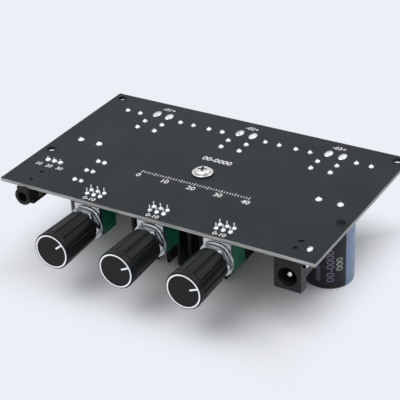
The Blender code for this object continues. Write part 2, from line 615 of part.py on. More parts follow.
# Heatsink: an extruded comb of tapered fins that sits on the two amplifier chips
def heatsink():
    high = below(AMP_CHIP_SIZE[2] + 2 * SEAT_GAP)
    low = high - HEATSINK_HEIGHT
    root = high - HEATSINK_BASE
    left, right = HEATSINK_X - HEATSINK_WIDTH / 2, HEATSINK_X + HEATSINK_WIDTH / 2
    front = HEATSINK_Y - HEATSINK_DEPTH / 2
    outline = [(right, high), (left, high)]
    for fin_x in row(HEATSINK_X, (HEATSINK_WIDTH - HEATSINK_FIN_ROOT) / (HEATSINK_FINS - 1), HEATSINK_FINS):
        outline += [(fin_x - HEATSINK_FIN_ROOT / 2, root), (fin_x - HEATSINK_FIN_TIP / 2, low),
                    (fin_x + HEATSINK_FIN_TIP / 2, low), (fin_x + HEATSINK_FIN_ROOT / 2, root)]
    section = [at(x, front, z) for x, z in outline]
    sink = make("heatsink", prism(section, (0.0, HEATSINK_DEPTH, 0.0)), ANODISED)
    tapped = rod(SCREW_RADIUS + SEAT_GAP, screw_end() - SEAT_GAP, high + CUT_MARGIN)
    boolean(sink, turned(tapped, at(HEATSINK_X, HEATSINK_Y, 0.0), 16), "DIFFERENCE")


def washer_top():
    """Height of the upper face of the heatsink screw's washer."""
    return SOLDER_FACE + SEAT_GAP + SCREW_WASHER_THICKNESS


def screw_end():
    """Height of the tip of the heatsink screw."""
    return washer_top() + SEAT_GAP - SCREW_LENGTH


def heatsink_screw():
    ring = [(SCREW_RADIUS + SEAT_GAP, washer_top()), (SCREW_RADIUS + SEAT_GAP, SOLDER_FACE + SEAT_GAP),
            (SCREW_WASHER_RADIUS, SOLDER_FACE + SEAT_GAP), (SCREW_WASHER_RADIUS, washer_top())]
    make("heatsink_washer", turned(ring, at(HEATSINK_X, HEATSINK_Y, 0.0), 20), STEEL)
    under = washer_top() + SEAT_GAP
    crown = under + SCREW_HEAD_HEIGHT
    tip = screw_end()
    profile = [(0.0, tip), (SCREW_RADIUS - SCREW_TIP_CHAMFER, tip), (SCREW_RADIUS, tip + SCREW_TIP_CHAMFER),
               (SCREW_RADIUS, under), (SCREW_HEAD_RADIUS, under), (SCREW_HEAD_RADIUS, under + SCREW_HEAD_RIM),
               (SCREW_HEAD_SHOULDER[0], under + SCREW_HEAD_SHOULDER[1]),
               (SCREW_HEAD_CROWN_RADIUS, crown), (0.0, crown)]
    centre = at(HEATSINK_X, HEATSINK_Y, 0.0)
    screw = make("heatsink_screw", turned(profile, centre, 16), STEEL)
    long_half, short_half = SCREW_CROSS_LENGTH / 2, SCREW_CROSS_WIDTH / 2
    for half_x, half_y in ((long_half, short_half), (short_half, long_half)):
        boolean(screw, block((centre.x - half_x, centre.y - half_y, crown - SCREW_CROSS_DEPTH),
                             (centre.x + half_x, centre.y + half_y, crown + CUT_MARGIN)), "DIFFERENCE")
    drill(HEATSINK_X, HEATSINK_Y, SCREW_RADIUS + SEAT_GAP)


heatsink()
heatsink_screw()


# Potentiometers
def d_outline(radius, flat, sides):
    """Points of a circle cut off by a flat, as (x, z) pairs."""
    edge = math.acos(flat / radius)
    turns = [math.pi / 2 + edge + index * (2 * math.pi - 2 * edge) / sides for index in range(sides + 1)]
    return [(radius * math.cos(turn), radius * math.sin(turn)) for turn in turns]


def knob_ring(radius, flute, y):
    """One ring of the knob's skin, with two points on the rim and one in the bottom of each flute."""
    half = KNOB_FLUTE_WIDTH / 2 / KNOB_FRONT_RADIUS
    points = []
    for index in range(KNOB_FLUTES):
        middle = math.radians(KNOB_FLUTE_TURN_DEG) + 2 * math.pi * index / KNOB_FLUTES
        for turn, reach in ((middle - half, radius), (middle, radius - flute), (middle + half, radius)):
            points.append((reach * math.cos(turn), y, reach * math.sin(turn)))
    return points


def knob_skin():
    """The knob's outside from back to front, as (radius, depth of the flutes, distance from its back)."""
    collar = KNOB_LENGTH - KNOB_COLLAR
    groove_back = collar - KNOB_GROOVE_WIDTH
    groove_mid = collar - KNOB_GROOVE_WIDTH / 2
    flute_end = groove_back - KNOB_FLUTE_RUN_OUT
    ring = KNOB_FRONT_RADIUS - KNOB_EDGE
    inner = ring - KNOB_RING_WIDTH

    def radius(back):
        return KNOB_REAR_RADIUS + (KNOB_FRONT_RADIUS - KNOB_REAR_RADIUS) * back / KNOB_LENGTH

    return [(radius(0.0), KNOB_FLUTE_DEPTH, 0.0), (radius(flute_end), KNOB_FLUTE_DEPTH, flute_end),
            (radius(groove_back), 0.0, groove_back),
            (radius(groove_mid) - KNOB_GROOVE_DEPTH, 0.0, groove_mid), (radius(collar), 0.0, collar),
            (KNOB_FRONT_RADIUS, 0.0, KNOB_LENGTH - KNOB_EDGE), (ring, 0.0, KNOB_LENGTH),
            (inner, 0.0, KNOB_LENGTH), (inner - KNOB_FACE_RECESS, 0.0, KNOB_LENGTH - KNOB_FACE_RECESS)]


def knob(name, axis):
    """A fluted knob with a turned groove, a ring round its face and a milled pointer."""
    bm = bmesh.new()
    rings = [knob_ring(radius, flute, -back) for radius, flute, back in knob_skin()]
    loops = [[bm.verts.new(point) for point in ring] for ring in rings]
    for near, far in zip(loops, loops[1:]):
        for index in range(len(near)):
            after = (index + 1) % len(near)
            bm.faces.new((near[index], near[after], far[after], far[index]))
    bm.faces.new(loops[0])
    bm.faces.new(loops[-1])
    body = make(name, bm, ANODISED, smooth_deg=28.0)
    body.parent = axis
    body.location = (0.0, -KNOB_BACK, 0.0)
    counterbore = BUSHING_LENGTH - KNOB_BACK + SEAT_GAP
    seat = rod(BUSHING_RADIUS + SHAFT_RUNNING_GAP, -counterbore, CUT_MARGIN)
    boolean(body, turned(seat, (0, 0, 0), 12, axis="Y"), "DIFFERENCE")
    bore_start = JOIN_OVERLAP - counterbore
    bore_end = KNOB_BACK - SHAFT_LENGTH - SEAT_GAP
    bore = [(x, bore_start, z) for x, z in d_outline(SHAFT_RADIUS + SEAT_GAP, SHAFT_FLAT + SEAT_GAP, 10)]
    boolean(body, prism(bore, (0.0, bore_end - bore_start, 0.0)), "DIFFERENCE")
    face = KNOB_FACE_RECESS - KNOB_LENGTH
    rim = KNOB_FRONT_RADIUS - KNOB_EDGE - KNOB_RING_WIDTH - KNOB_FACE_RECESS
    boolean(body, block((KNOB_POINTER_INNER, face - CUT_MARGIN, -KNOB_POINTER_WIDTH / 2),
                        (rim, face + KNOB_POINTER_DEPTH, KNOB_POINTER_WIDTH / 2)), "DIFFERENCE")


def shaft(name, axis):
    """The turning shaft: round in the bushing, with a flat where the knob sits."""
    back_end = POT_PLATE_THICKNESS + SHAFT_SOCKET_DEPTH - SEAT_GAP
    bar = make(name, turned(rod(SHAFT_RADIUS, -BUSHING_LENGTH, back_end), (0, 0, 0), 12, axis="Y"), STEEL)
    bar.parent = axis
    start = JOIN_OVERLAP - BUSHING_LENGTH
    flatted = [(x, start, z) for x, z in d_outline(SHAFT_RADIUS - SHAFT_STEP, SHAFT_FLAT, 10)]
    boolean(bar, prism(flatted, (0.0, -SHAFT_LENGTH - start, 0.0)), "UNION")


def potentiometer(name, x):
    axis_z = below(POT_AXIS_DROP)
    axis = bpy.data.objects.new(f"{name}_axis", None)
    axis.location = at(x, 0.0, axis_z)
    axis.rotation_euler = (0.0, -math.radians(POT_POINTER_DEG[name]), 0.0)
    bpy.context.scene.collection.objects.link(axis)
    half = POT_WIDTH / 2
    high = below(SEAT_GAP)
    low = high - POT_HEIGHT
    plate_back = POT_PLATE_THICKNESS
    body_front = plate_back + SEAT_GAP
    body_back = body_front + POT_BODY_DEPTH
    hook_back = body_back + SEAT_GAP + POT_STRAP_THICKNESS
    body_low = low + POT_STRAP_THICKNESS + SEAT_GAP

    plate = make(f"{name}_pot_plate", block(at(x - half, 0.0, low), at(x + half, plate_back, high)), STEEL)
    straps = bmesh.new()
    hooks = bmesh.new()
    for strap_x in (x - POT_STRAP_OFFSET, x + POT_STRAP_OFFSET):
        near, far = strap_x - POT_STRAP_WIDTH / 2, strap_x + POT_STRAP_WIDTH / 2
        add_block(straps, at(near, plate_back / 2, low), at(far, hook_back, low + POT_STRAP_THICKNESS))
        add_block(hooks, at(near, body_back + SEAT_GAP, low + POT_STRAP_THICKNESS / 2),
                  at(far, hook_back, low + POT_HOOK_LENGTH))
    boolean(plate, straps, "UNION")
    boolean(plate, hooks, "UNION")
    bush = turned(rod(BUSHING_RADIUS, -BUSHING_LENGTH, plate_back / 2), at(x, 0.0, axis_z), 12, axis="Y")
    boolean(plate, bush, "UNION")
    bore = rod(SHAFT_RADIUS + SHAFT_RUNNING_GAP, -BUSHING_LENGTH - CUT_MARGIN, plate_back + CUT_MARGIN)
    boolean(plate, turned(bore, at(x, 0.0, axis_z), 12, axis="Y"), "DIFFERENCE")

    outline = [(body_front, POT_WAFER_STEP)]
    for pin_y in pot_pin_rows():
        for wafer_y, steps in ((pin_y - POT_WAFER_THICKNESS / 2, (POT_WAFER_STEP, 0.0)),
                               (pin_y + POT_WAFER_THICKNESS / 2, (0.0, POT_WAFER_STEP))):
            outline += [(wafer_y, step) for step in steps]
    outline += [(body_back, POT_WAFER_STEP)]
    section = [at(x - half, y, high - step) for y, step in outline] + [
        at(x - half, y, body_low + step) for y, step in reversed(outline)]
    body = make(f"{name}_pot_body", prism(section, (POT_WIDTH, 0.0, 0.0)), WAFER)
    socket = rod(SHAFT_RADIUS + SHAFT_RUNNING_GAP, body_front - CUT_MARGIN, plate_back + SHAFT_SOCKET_DEPTH)
    boolean(body, turned(socket, at(x, 0.0, axis_z), 12, axis="Y"), "DIFFERENCE")
    places = [(pin_x, pin_y) for pin_y in pot_pin_rows() for pin_x in row(x, POT_PIN_PITCH, 3)]
    soldered(body, places, high - LEAD_ROOT, pad=(POT_PAD_RADIUS, POT_PAD_RADIUS), tip=POT_PIN_TIP)

    washer_hole = BUSHING_RADIUS + SEAT_GAP
    washer_front = -WASHER_BACK - WASHER_THICKNESS
    ring = [(washer_hole, -WASHER_BACK), (WASHER_RADIUS, -WASHER_BACK),
            (WASHER_RADIUS, washer_front), (washer_hole, washer_front)]
    make(f"{name}_washer", turned(ring, at(x, 0.0, axis_z), 20, axis="Y"), STEEL)
    corner = NUT_ACROSS_FLATS / 2 / math.cos(math.pi / 6)
    hexagon = [at(x + corner * math.cos(turn), -NUT_BACK, axis_z + corner * math.sin(turn))
               for turn in (math.pi / 3 * step for step in range(6))]
    nut = make(f"{name}_nut", prism(hexagon, (0.0, -NUT_THICKNESS, 0.0)), STEEL)
    nut_front = -NUT_BACK - NUT_THICKNESS
    cone = [(0.0, CUT_MARGIN - NUT_BACK), (corner + CUT_MARGIN, CUT_MARGIN - NUT_BACK),
            (corner + CUT_MARGIN, nut_front + NUT_CHAMFER), (corner - NUT_CHAMFER, nut_front - SEAT_GAP),
            (0.0, nut_front - SEAT_GAP)]
    boolean(nut, turned(cone, at(x, 0.0, axis_z), 24, axis="Y"), "INTERSECT")
    nut_hole = rod(washer_hole, nut_front - CUT_MARGIN, CUT_MARGIN)
    boolean(nut, turned(nut_hole, at(x, 0.0, axis_z), 12, axis="Y"), "DIFFERENCE")
    shaft(f"{name}_shaft", axis)
    knob(f"{name}_knob", axis)


def pot_pin_rows():
    """Distance of each wafer's pins from the board's front edge."""
    return (POT_PIN_FIRST_ROW, POT_PIN_FIRST_ROW + POT_PIN_ROW_PITCH)


for pot_name, pot_x in zip(POT_NAMES, row(POT_MID_X, POT_PITCH, 3)):
    potentiometer(pot_name, pot_x)


# Power jack: a square mouth on a round barrel, with a centre pin
def power_jack():
    x = POWER_JACK_X
    half = POWER_JACK_WIDTH / 2
    high = below(SEAT_GAP)
    low = high - POWER_JACK_HEIGHT
    axis_z = below(POWER_JACK_AXIS_DROP)
    axle = at(x, 0.0, axis_z)
    front = block(at(x - half, 0.0, low), at(x + half, POWER_JACK_FRONT_DEPTH, high))
    mouth = make("power_jack_housing", front, PLASTIC)
    barrel = rod(POWER_JACK_BARREL_RADIUS, POWER_JACK_FRONT_DEPTH - JOIN_OVERLAP, POWER_JACK_DEPTH)
    boolean(mouth, turned(barrel, axle, 20, axis="Y"), "UNION")
    shoulder = half - POWER_JACK_SHOULDER_STEP
    boolean(mouth, block(at(x - shoulder, POWER_JACK_FRONT_DEPTH - JOIN_OVERLAP, axis_z),
                         at(x + shoulder, POWER_JACK_DEPTH, high - POWER_JACK_SHOULDER_STEP)), "UNION")
    pegs = bmesh.new()
    for peg_y in POWER_JACK_PEG_Y:
        peg = rod(POWER_JACK_PEG_RADIUS, high - 2 * JOIN_OVERLAP, SOLDER_FACE - SEAT_GAP)
        add_turned(pegs, peg, at(x, peg_y, 0.0), 8)
        drill(x, peg_y, POWER_JACK_PEG_RADIUS + LEAD_HOLE_GAP)
    boolean(mouth, pegs, "UNION")
    bore = rod(POWER_JACK_BORE_RADIUS, -CUT_MARGIN, POWER_JACK_BORE_DEPTH)
    boolean(mouth, turned(bore, axle, 20, axis="Y"), "DIFFERENCE")
    flange = POWER_JACK_PIN_FLANGE
    pin_way = rod(flange + SEAT_GAP, POWER_JACK_BORE_DEPTH - JOIN_OVERLAP, POWER_JACK_DEPTH + CUT_MARGIN)
    boolean(mouth, turned(pin_way, axle, 16, axis="Y"), "DIFFERENCE")
    soldered(mouth, [(x + POWER_JACK_LUG_X, POWER_JACK_LUG_Y)], high - LEAD_ROOT,
             radius=POWER_JACK_LUG_HALF, pad=POWER_JACK_LUG_PAD)
    radius = POWER_JACK_PIN_RADIUS
    tip = POWER_JACK_PIN_SET_BACK
    seat = POWER_JACK_BORE_DEPTH + SEAT_GAP
    end = POWER_JACK_DEPTH + SEAT_GAP
    pin = [(0.0, tip), (radius - POWER_JACK_PIN_TAPER, tip), (radius, tip + POWER_JACK_PIN_TAPER),
           (radius, seat), (flange, seat), (flange, end), (0.0, end)]
    make("power_jack_pin", turned(pin, axle, 12, axis="Y"), STEEL)


# Signal jack: a low body with a round nose in front of the board, and two side contacts
def signal_jack():
    x = SIGNAL_JACK_X
    half = SIGNAL_JACK_WIDTH / 2
    high = below(SEAT_GAP)
    low = high - SIGNAL_JACK_HEIGHT
    axis_z = below(SIGNAL_JACK_AXIS_DROP)
    axle = at(x, 0.0, axis_z)
    case = block(at(x - half, -SEAT_GAP, low), at(x + half, SIGNAL_JACK_DEPTH, high))
    body = make("signal_jack_body", case, PLASTIC)
    reach = SIGNAL_JACK_BARREL_REACH
    radius = SIGNAL_JACK_BARREL_RADIUS
    chamfer = SIGNAL_JACK_CHAMFER
    neck = SIGNAL_JACK_AXIS_DROP - 2 * SEAT_GAP
    shoulder = -SEAT_GAP - SIGNAL_JACK_CLEARANCE
    nose = [(0.0, -reach), (radius - chamfer, -reach), (radius, chamfer - reach), (radius, shoulder),
            (neck, shoulder), (neck, JOIN_OVERLAP), (0.0, JOIN_OVERLAP)]
    boolean(body, turned(nose, axle, 16, axis="Y"), "UNION")
    pegs = bmesh.new()
    for peg_y in SIGNAL_JACK_PEG_Y:
        peg = rod(SIGNAL_JACK_PEG_RADIUS, high - JOIN_OVERLAP, SOLDER_FACE - SEAT_GAP)
        add_turned(pegs, peg, at(x, peg_y, 0.0), 8)
        drill(x, peg_y, SIGNAL_JACK_PEG_RADIUS + LEAD_HOLE_GAP)
    boolean(body, pegs, "UNION")
    bore = rod(SIGNAL_JACK_BORE_RADIUS, -reach - CUT_MARGIN, SIGNAL_JACK_BORE_DEPTH - reach)
    boolean(body, turned(bore, axle, 12, axis="Y"), "DIFFERENCE")
    for name, contact_y in SIGNAL_CONTACT_YS.items():
        left = x + half + SEAT_GAP
        right = left + SIGNAL_CONTACT_THICKNESS
        toe = right + SIGNAL_CONTACT_FOOT
        foot = high - SIGNAL_CONTACT_THICKNESS
        end = high - SIGNAL_CONTACT_HEIGHT
        outline = [(left, end), (right, end), (right, foot), (toe, foot), (toe, high), (left, high)]
        make(f"signal_jack_contact_{name}", prism([at(px, contact_y, pz) for px, pz in outline],
                                                  (0.0, SIGNAL_CONTACT_LENGTH, 0.0)), BRASS)


# Pin header: a moulded strip with square pins through it
def pin_header():
    high = below(SEAT_GAP)
    half_length = HEADER_PINS * HEADER_PITCH / 2
    half = HEADER_PITCH / 2
    strip = make("pin_header", block(at(HEADER_X - half_length, HEADER_Y - half, high - HEADER_STRIP),
                                     at(HEADER_X + half_length, HEADER_Y + half, high)), PLASTIC)
    pins = bmesh.new()
    for pin_x in row(HEADER_X, HEADER_PITCH, HEADER_PINS):
        add_block(pins, at(pin_x - HEADER_PIN_HALF, HEADER_Y - HEADER_PIN_HALF, high - HEADER_PIN_REACH),
                  at(pin_x + HEADER_PIN_HALF, HEADER_Y + HEADER_PIN_HALF, high - HEADER_STRIP / 2))
    boolean(strip, pins, "UNION")
    places = [(pin_x, HEADER_Y) for pin_x in row(HEADER_X, HEADER_PITCH, HEADER_PINS)]
    soldered(strip, places, high - LEAD_ROOT)


power_jack()
signal_jack()
pin_header()


# Board: a plain rectangle, drilled for every lead and for its four mounting holes
def circuit_board():
    slab = block(at(0.0, 0.0, COMPONENT_FACE), at(BOARD_LENGTH, BOARD_DEPTH, SOLDER_FACE))
    board = make("circuit_board", slab, MASK)
    low, high = COMPONENT_FACE - CUT_MARGIN, SOLDER_FACE + CUT_MARGIN
    cutter = bmesh.new()
    for x, y, half_x, half_y in drilled:
        sides = LEAD_SIDES if half_x < SCREW_RADIUS else ROUND_HOLE_SIDES
        hole = add_turned(cutter, rod(half_x, low, high), at(x, y, 0.0), sides)
        centre = at(x, y, 0.0)
        for vert in hole:
            vert.co.y = centre.y + (vert.co.y - centre.y) * half_y / half_x
    back = BOARD_DEPTH - MOUNT_HOLE_INSET
    rings = bmesh.new()
    ring_radius = MOUNT_HOLE_RADIUS + MOUNT_RING_WIDTH
    ring = rod(ring_radius, SOLDER_FACE - MOUNT_RING_RISE, SOLDER_FACE + MOUNT_RING_RISE)
    for x in (MOUNT_HOLE_INSET, BOARD_LENGTH - MOUNT_HOLE_INSET):
        for y in (back - MOUNT_HOLE_SPACING, back):
            add_turned(rings, ring, at(x, y, 0.0), ROUND_HOLE_SIDES)
            add_turned(cutter, rod(MOUNT_HOLE_RADIUS, low, high), at(x, y, 0.0), ROUND_HOLE_SIDES)
    boolean(board, rings, "UNION")
    boolean(board, cutter, "DIFFERENCE")


circuit_board()
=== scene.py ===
# %% [markdown]
# This lesson dresses an audio amplifier board that lies solder side up on its two tall capacitors.
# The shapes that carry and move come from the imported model, so the first step loads that model and
# measures it. Everything after this takes its place from those measures, in metres.

import json
import math

import bmesh
import bpy
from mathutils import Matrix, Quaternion, Vector


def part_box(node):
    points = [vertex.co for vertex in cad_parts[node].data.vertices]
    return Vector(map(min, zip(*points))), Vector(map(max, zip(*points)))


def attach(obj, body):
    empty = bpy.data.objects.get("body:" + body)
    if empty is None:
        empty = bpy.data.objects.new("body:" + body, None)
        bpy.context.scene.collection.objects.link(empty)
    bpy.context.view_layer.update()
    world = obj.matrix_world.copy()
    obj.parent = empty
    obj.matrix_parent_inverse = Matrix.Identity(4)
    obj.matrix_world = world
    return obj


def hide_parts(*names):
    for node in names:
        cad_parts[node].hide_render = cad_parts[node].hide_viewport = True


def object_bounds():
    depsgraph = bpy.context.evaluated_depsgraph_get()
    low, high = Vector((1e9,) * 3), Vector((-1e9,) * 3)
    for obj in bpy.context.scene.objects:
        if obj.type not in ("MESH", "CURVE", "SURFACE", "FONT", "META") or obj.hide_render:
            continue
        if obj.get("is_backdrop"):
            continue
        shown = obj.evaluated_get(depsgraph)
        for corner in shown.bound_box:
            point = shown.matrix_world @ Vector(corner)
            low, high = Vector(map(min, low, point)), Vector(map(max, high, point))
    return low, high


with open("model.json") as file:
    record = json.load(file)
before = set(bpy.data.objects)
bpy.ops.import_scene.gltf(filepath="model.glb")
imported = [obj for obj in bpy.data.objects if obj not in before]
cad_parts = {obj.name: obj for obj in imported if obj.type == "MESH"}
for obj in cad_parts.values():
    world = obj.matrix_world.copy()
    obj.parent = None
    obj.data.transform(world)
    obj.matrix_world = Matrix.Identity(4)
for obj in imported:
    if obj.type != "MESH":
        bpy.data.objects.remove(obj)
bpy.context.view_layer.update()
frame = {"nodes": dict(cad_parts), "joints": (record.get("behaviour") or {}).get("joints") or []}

# %% [markdown]
# Places on a circuit board are given from one corner of it, in millimetres, so a helper turns such a
# place into world metres. The board is a sheet 1.2 mm thick, and its upper face here is the solder
# side.

# %% Places on the board
MM = 0.001
BOARD_THICKNESS = 1.2
board_low, board_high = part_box("circuit_board")
component_face = board_low.z
solder_face = board_low.z + BOARD_THICKNESS * MM
BOARD_LENGTH = (board_high.x - board_low.x) / MM
BOARD_DEPTH = (board_high.y - board_low.y) / MM


def spot(x, y, rise=0.0):
    """World point of a place in mm from the board's front left corner, `rise` above the solder side."""
    return Vector((board_low.x + x * MM, board_low.y + y * MM, solder_face + rise * MM))


print(f"board {BOARD_LENGTH:.1f} x {BOARD_DEPTH:.1f} mm, solder side at {solder_face / MM:.2f} mm")

# %% [markdown]
# The photograph was taken with a long lens from the front right, well above the board. The camera's
# place and direction were solved from the board's four corners. A long lens keeps the edges of the
# board almost parallel.

# %% Camera
CAMERA_PLACE = Vector((0.19265, -0.30327, 0.22965))
CAMERA_LOOK = Vector((-0.45732, 0.73315, -0.50334))
CAMERA_ROLL = math.radians(-2.76)
CAMERA_LENS = 114.66
SENSOR_WIDTH = 36.0
bpy.ops.object.camera_add(location=CAMERA_PLACE)
camera = bpy.context.object
camera.rotation_mode = "QUATERNION"
camera.rotation_quaternion = CAMERA_LOOK.to_track_quat("-Z", "Y") @ Quaternion((0, 0, 1), CAMERA_ROLL)
camera.data.lens = CAMERA_LENS
camera.data.sensor_width = SENSOR_WIDTH
camera.data.clip_start = 0.01
bpy.context.scene.camera = camera
print("camera", [round(value, 3) for value in camera.location])

# %% [markdown]
# Nearly every finish here is one shader with some uneven colour, gloss or relief on it. Helpers add
# these one at a time. Each reads Object coordinates in metres, so a scale of 1000 means features of
# about a millimetre.

# %% Helpers for finishes
COAT_ROUGHNESS = 0.12
NARROW_SPAN = (0.35, 0.65)
WIDE_SPAN = (0.3, 0.7)
GLOSS_DETAIL = 4.0


def finish(name, colour, roughness, metallic=0.0, coat=0.0, specular=0.5):
    """A new material with its plain numbers set on the shader itself."""
    made = bpy.data.materials.new(name)
    made.use_nodes = True
    shader = made.node_tree.nodes["Principled BSDF"]
    shader.inputs["Base Color"].default_value = (*colour, 1.0)
    shader.inputs["Roughness"].default_value = roughness
    shader.inputs["Metallic"].default_value = metallic
    shader.inputs["Coat Weight"].default_value = coat
    shader.inputs["Coat Roughness"].default_value = COAT_ROUGHNESS
    shader.inputs["Specular IOR Level"].default_value = specular
    return made


def node(made, kind, **values):
    """Adds a node to a material or the world and sets its sockets by name."""
    added = made.node_tree.nodes.new(kind)
    for name, value in values.items():
        added.inputs[name.replace("_", " ")].default_value = value
    return added


def link(made, source, target):
    made.node_tree.links.new(source, target)


def shader_of(made):
    return made.node_tree.nodes["Principled BSDF"]


def object_place(made, stretch=(1.0, 1.0, 1.0)):
    """Object coordinates, stretched along an axis where a finish has a direction."""
    coordinates = node(made, "ShaderNodeTexCoord")
    mapping = node(made, "ShaderNodeMapping", Scale=stretch)
    link(made, coordinates.outputs["Object"], mapping.inputs["Vector"])
    return mapping.outputs["Vector"]


def noise(made, scale, detail=3.0, stretch=(1.0, 1.0, 1.0)):
    cloud = node(made, "ShaderNodeTexNoise", Scale=scale, Detail=detail)
    link(made, object_place(made, stretch), cloud.inputs["Vector"])
    return cloud.outputs["Fac"]


def ramp(made, value, stops):
    """Turns a number into a colour; stops are two pairs of place and colour."""
    band = node(made, "ShaderNodeValToRGB")
    for element, (place, colour) in zip(band.color_ramp.elements, stops):
        element.position = place
        element.color = (*colour, 1.0)
    link(made, value, band.inputs["Fac"])
    return band.outputs["Color"]


def cloudy_colour(made, dark, light, scale):
    colour = ramp(made, noise(made, scale), zip(NARROW_SPAN, (dark, light)))
    link(made, colour, shader_of(made).inputs["Base Color"])


def cloudy_gloss(made, low, high, scale):
    first, last = WIDE_SPAN
    spread = node(made, "ShaderNodeMapRange", From_Min=first, From_Max=last, To_Min=low, To_Max=high)
    link(made, noise(made, scale, GLOSS_DETAIL), spread.inputs["Value"])
    link(made, spread.outputs["Result"], shader_of(made).inputs["Roughness"])


def relief(made, height, depth, strength=0.5):
    """Bump from a height of 0 to 1, `depth` metres high; a second call adds to the first."""
    bump = node(made, "ShaderNodeBump", Strength=strength, Distance=depth)
    link(made, height, bump.inputs["Height"])
    target = shader_of(made).inputs["Normal"]
    if target.is_linked:
        link(made, target.links[0].from_socket, bump.inputs["Normal"])
    link(made, bump.outputs["Normal"], target)


def axis_value(made, axis):
    """One object coordinate, in metres."""
    split = node(made, "ShaderNodeSeparateXYZ")
    link(made, object_place(made), split.inputs["Vector"])
    return split.outputs[axis]


def math_node(made, operation, first, second=None):
    """A math node on one or two values, each a socket or a plain number."""
    result = node(made, "ShaderNodeMath")
    result.operation = operation
    for index, value in enumerate((first, second)):
        if isinstance(value, bpy.types.NodeSocket):
            link(made, value, result.inputs[index])
        elif value is not None:
            result.inputs[index].default_value = value
    return result.outputs["Value"]


def seen_or_mirrored(made):
    """1 for rays from the camera and from mirroring or clear surfaces, 0 for soft light."""
    rays = node(made, "ShaderNodeLightPath")
    seen = math_node(made, "MAXIMUM", rays.outputs["Is Camera Ray"], rays.outputs["Is Glossy Ray"])
    return math_node(made, "MAXIMUM", seen, rays.outputs["Is Transmission Ray"])


print("helpers for finishes are ready")

# %% [markdown]
# Black parts are seen mostly by what they mirror, so most of the light comes from a pale world all
# round, and three wide lamps far away only give it a direction. World and lamps add up to plain white
# on the floor, so that a colour renders about as it is written. What the camera and the mirroring
# surfaces see of that world is the photograph's even background tone.

# %% Lamps, world and view
scene = bpy.context.scene
scene.view_settings.view_transform = "Standard"


def soft_lamp(name, place, size, power):
    """A square lamp that faces the board's middle."""
    bpy.ops.object.light_add(type="AREA", location=place)
    lamp = bpy.context.object
    lamp.name = name
    lamp.data.shape = "SQUARE"
    lamp.data.size = size
    lamp.data.energy = power
    lamp.rotation_mode = "QUATERNION"
    lamp.rotation_quaternion = (-Vector(place)).to_track_quat("-Z", "Y")


soft_lamp("overhead_lamp", (-0.30, -0.60, 1.80), 1.50, 17.0)
soft_lamp("back_lamp", (0.90, 1.00, 1.40), 0.90, 5.0)
soft_lamp("front_lamp", (0.60, -1.50, 0.60), 0.90, 2.5)

SKY = (0.960, 0.985, 1.0, 1.0)
SKY_LEVEL = 0.52
BACKGROUND = (0.839, 0.863, 0.922)
world = bpy.data.worlds.new("pale_room")
scene.world = world
world.use_nodes = True
sky = world.node_tree.nodes["Background"]
sky.inputs["Color"].default_value = SKY
sky.inputs["Strength"].default_value = SKY_LEVEL
backdrop = node(world, "ShaderNodeBackground", Color=(*BACKGROUND, 1.0))
choice = node(world, "ShaderNodeMixShader")
link(world, seen_or_mirrored(world), choice.inputs["Fac"])
link(world, sky.outputs["Background"], choice.inputs[1])
link(world, backdrop.outputs["Background"], choice.inputs[2])
link(world, choice.outputs["Shader"], world.node_tree.nodes["World Output"].inputs["Surface"])
print("world level", SKY_LEVEL)

# %% [markdown]
# Pieces are modelled by the same few moves: start clean, pick faces or edges by their place, turn a
# profile round an axis, cut one solid with another, and set the piece down where it belongs. Each
# move gets a short helper.

# %% Helpers for modelling
WELD = 0.000004
BEVEL_STEPS = 2
CUTTER_REACH = 1.0


def fresh():
    """Nothing selected and no mesh being edited, because an operator acts on all that is selected."""
    if bpy.context.object and bpy.context.object.mode != "OBJECT":
        bpy.ops.object.mode_set(mode="OBJECT")
    bpy.ops.object.select_all(action="DESELECT")


def choose(*pieces):
    fresh()
    for piece in pieces:
        piece.select_set(True)
    bpy.context.view_layer.objects.active = pieces[0]


def pick(kind, test):
    """In edit mode, selects the VERTs, EDGEs or FACEs for which the test is true."""
    bpy.ops.mesh.select_mode(type=kind)
    bpy.ops.mesh.select_all(action="DESELECT")
    mesh = bmesh.from_edit_mesh(bpy.context.object.data)
    for item in {"VERT": mesh.verts, "EDGE": mesh.edges, "FACE": mesh.faces}[kind]:
        if test(item):
            item.select_set(True)
    mesh.select_flush_mode()
    bmesh.update_edit_mesh(bpy.context.object.data)


def edit(piece):
    choose(piece)
    bpy.ops.object.mode_set(mode="EDIT")


def lathe(name, profile, sides):
    """Turns a profile of (radius, height) points in mm round Z, by extruding one vertex and spinning."""
    fresh()
    bpy.ops.mesh.primitive_plane_add(size=MM)
    piece = bpy.context.object
    piece.name = name
    bpy.ops.object.mode_set(mode="EDIT")
    bpy.ops.mesh.select_all(action="SELECT")
    bpy.ops.mesh.merge(type="CENTER")
    bpy.ops.transform.translate(value=(profile[0][0] * MM, 0.0, profile[0][1] * MM))
    for before, after in zip(profile, profile[1:]):
        step = ((after[0] - before[0]) * MM, 0.0, (after[1] - before[1]) * MM)
        bpy.ops.mesh.extrude_vertices_move(TRANSFORM_OT_translate={"value": step})
    bpy.ops.mesh.select_all(action="SELECT")
    bpy.ops.mesh.spin(steps=sides, angle=2 * math.pi, center=(0, 0, 0), axis=(0, 0, 1))
    bpy.ops.mesh.select_all(action="SELECT")
    bpy.ops.mesh.remove_doubles(threshold=WELD)
    bpy.ops.mesh.normals_make_consistent(inside=False)
    bpy.ops.object.mode_set(mode="OBJECT")
    return piece


def box_piece(name, low, high):
    """A cube stretched between two corners given in mm."""
    fresh()
    middle = [(a + b) / 2 * MM for a, b in zip(low, high)]
    bpy.ops.mesh.primitive_cube_add(size=1.0, location=middle)
    piece = bpy.context.object
    piece.name = name
    piece.scale = [(b - a) * MM for a, b in zip(low, high)]
    bpy.ops.object.transform_apply(location=True, rotation=True, scale=True)
    return piece


def apply_all(piece):
    choose(piece)
    for modifier in list(piece.modifiers):
        bpy.ops.object.modifier_apply(modifier=modifier.name)


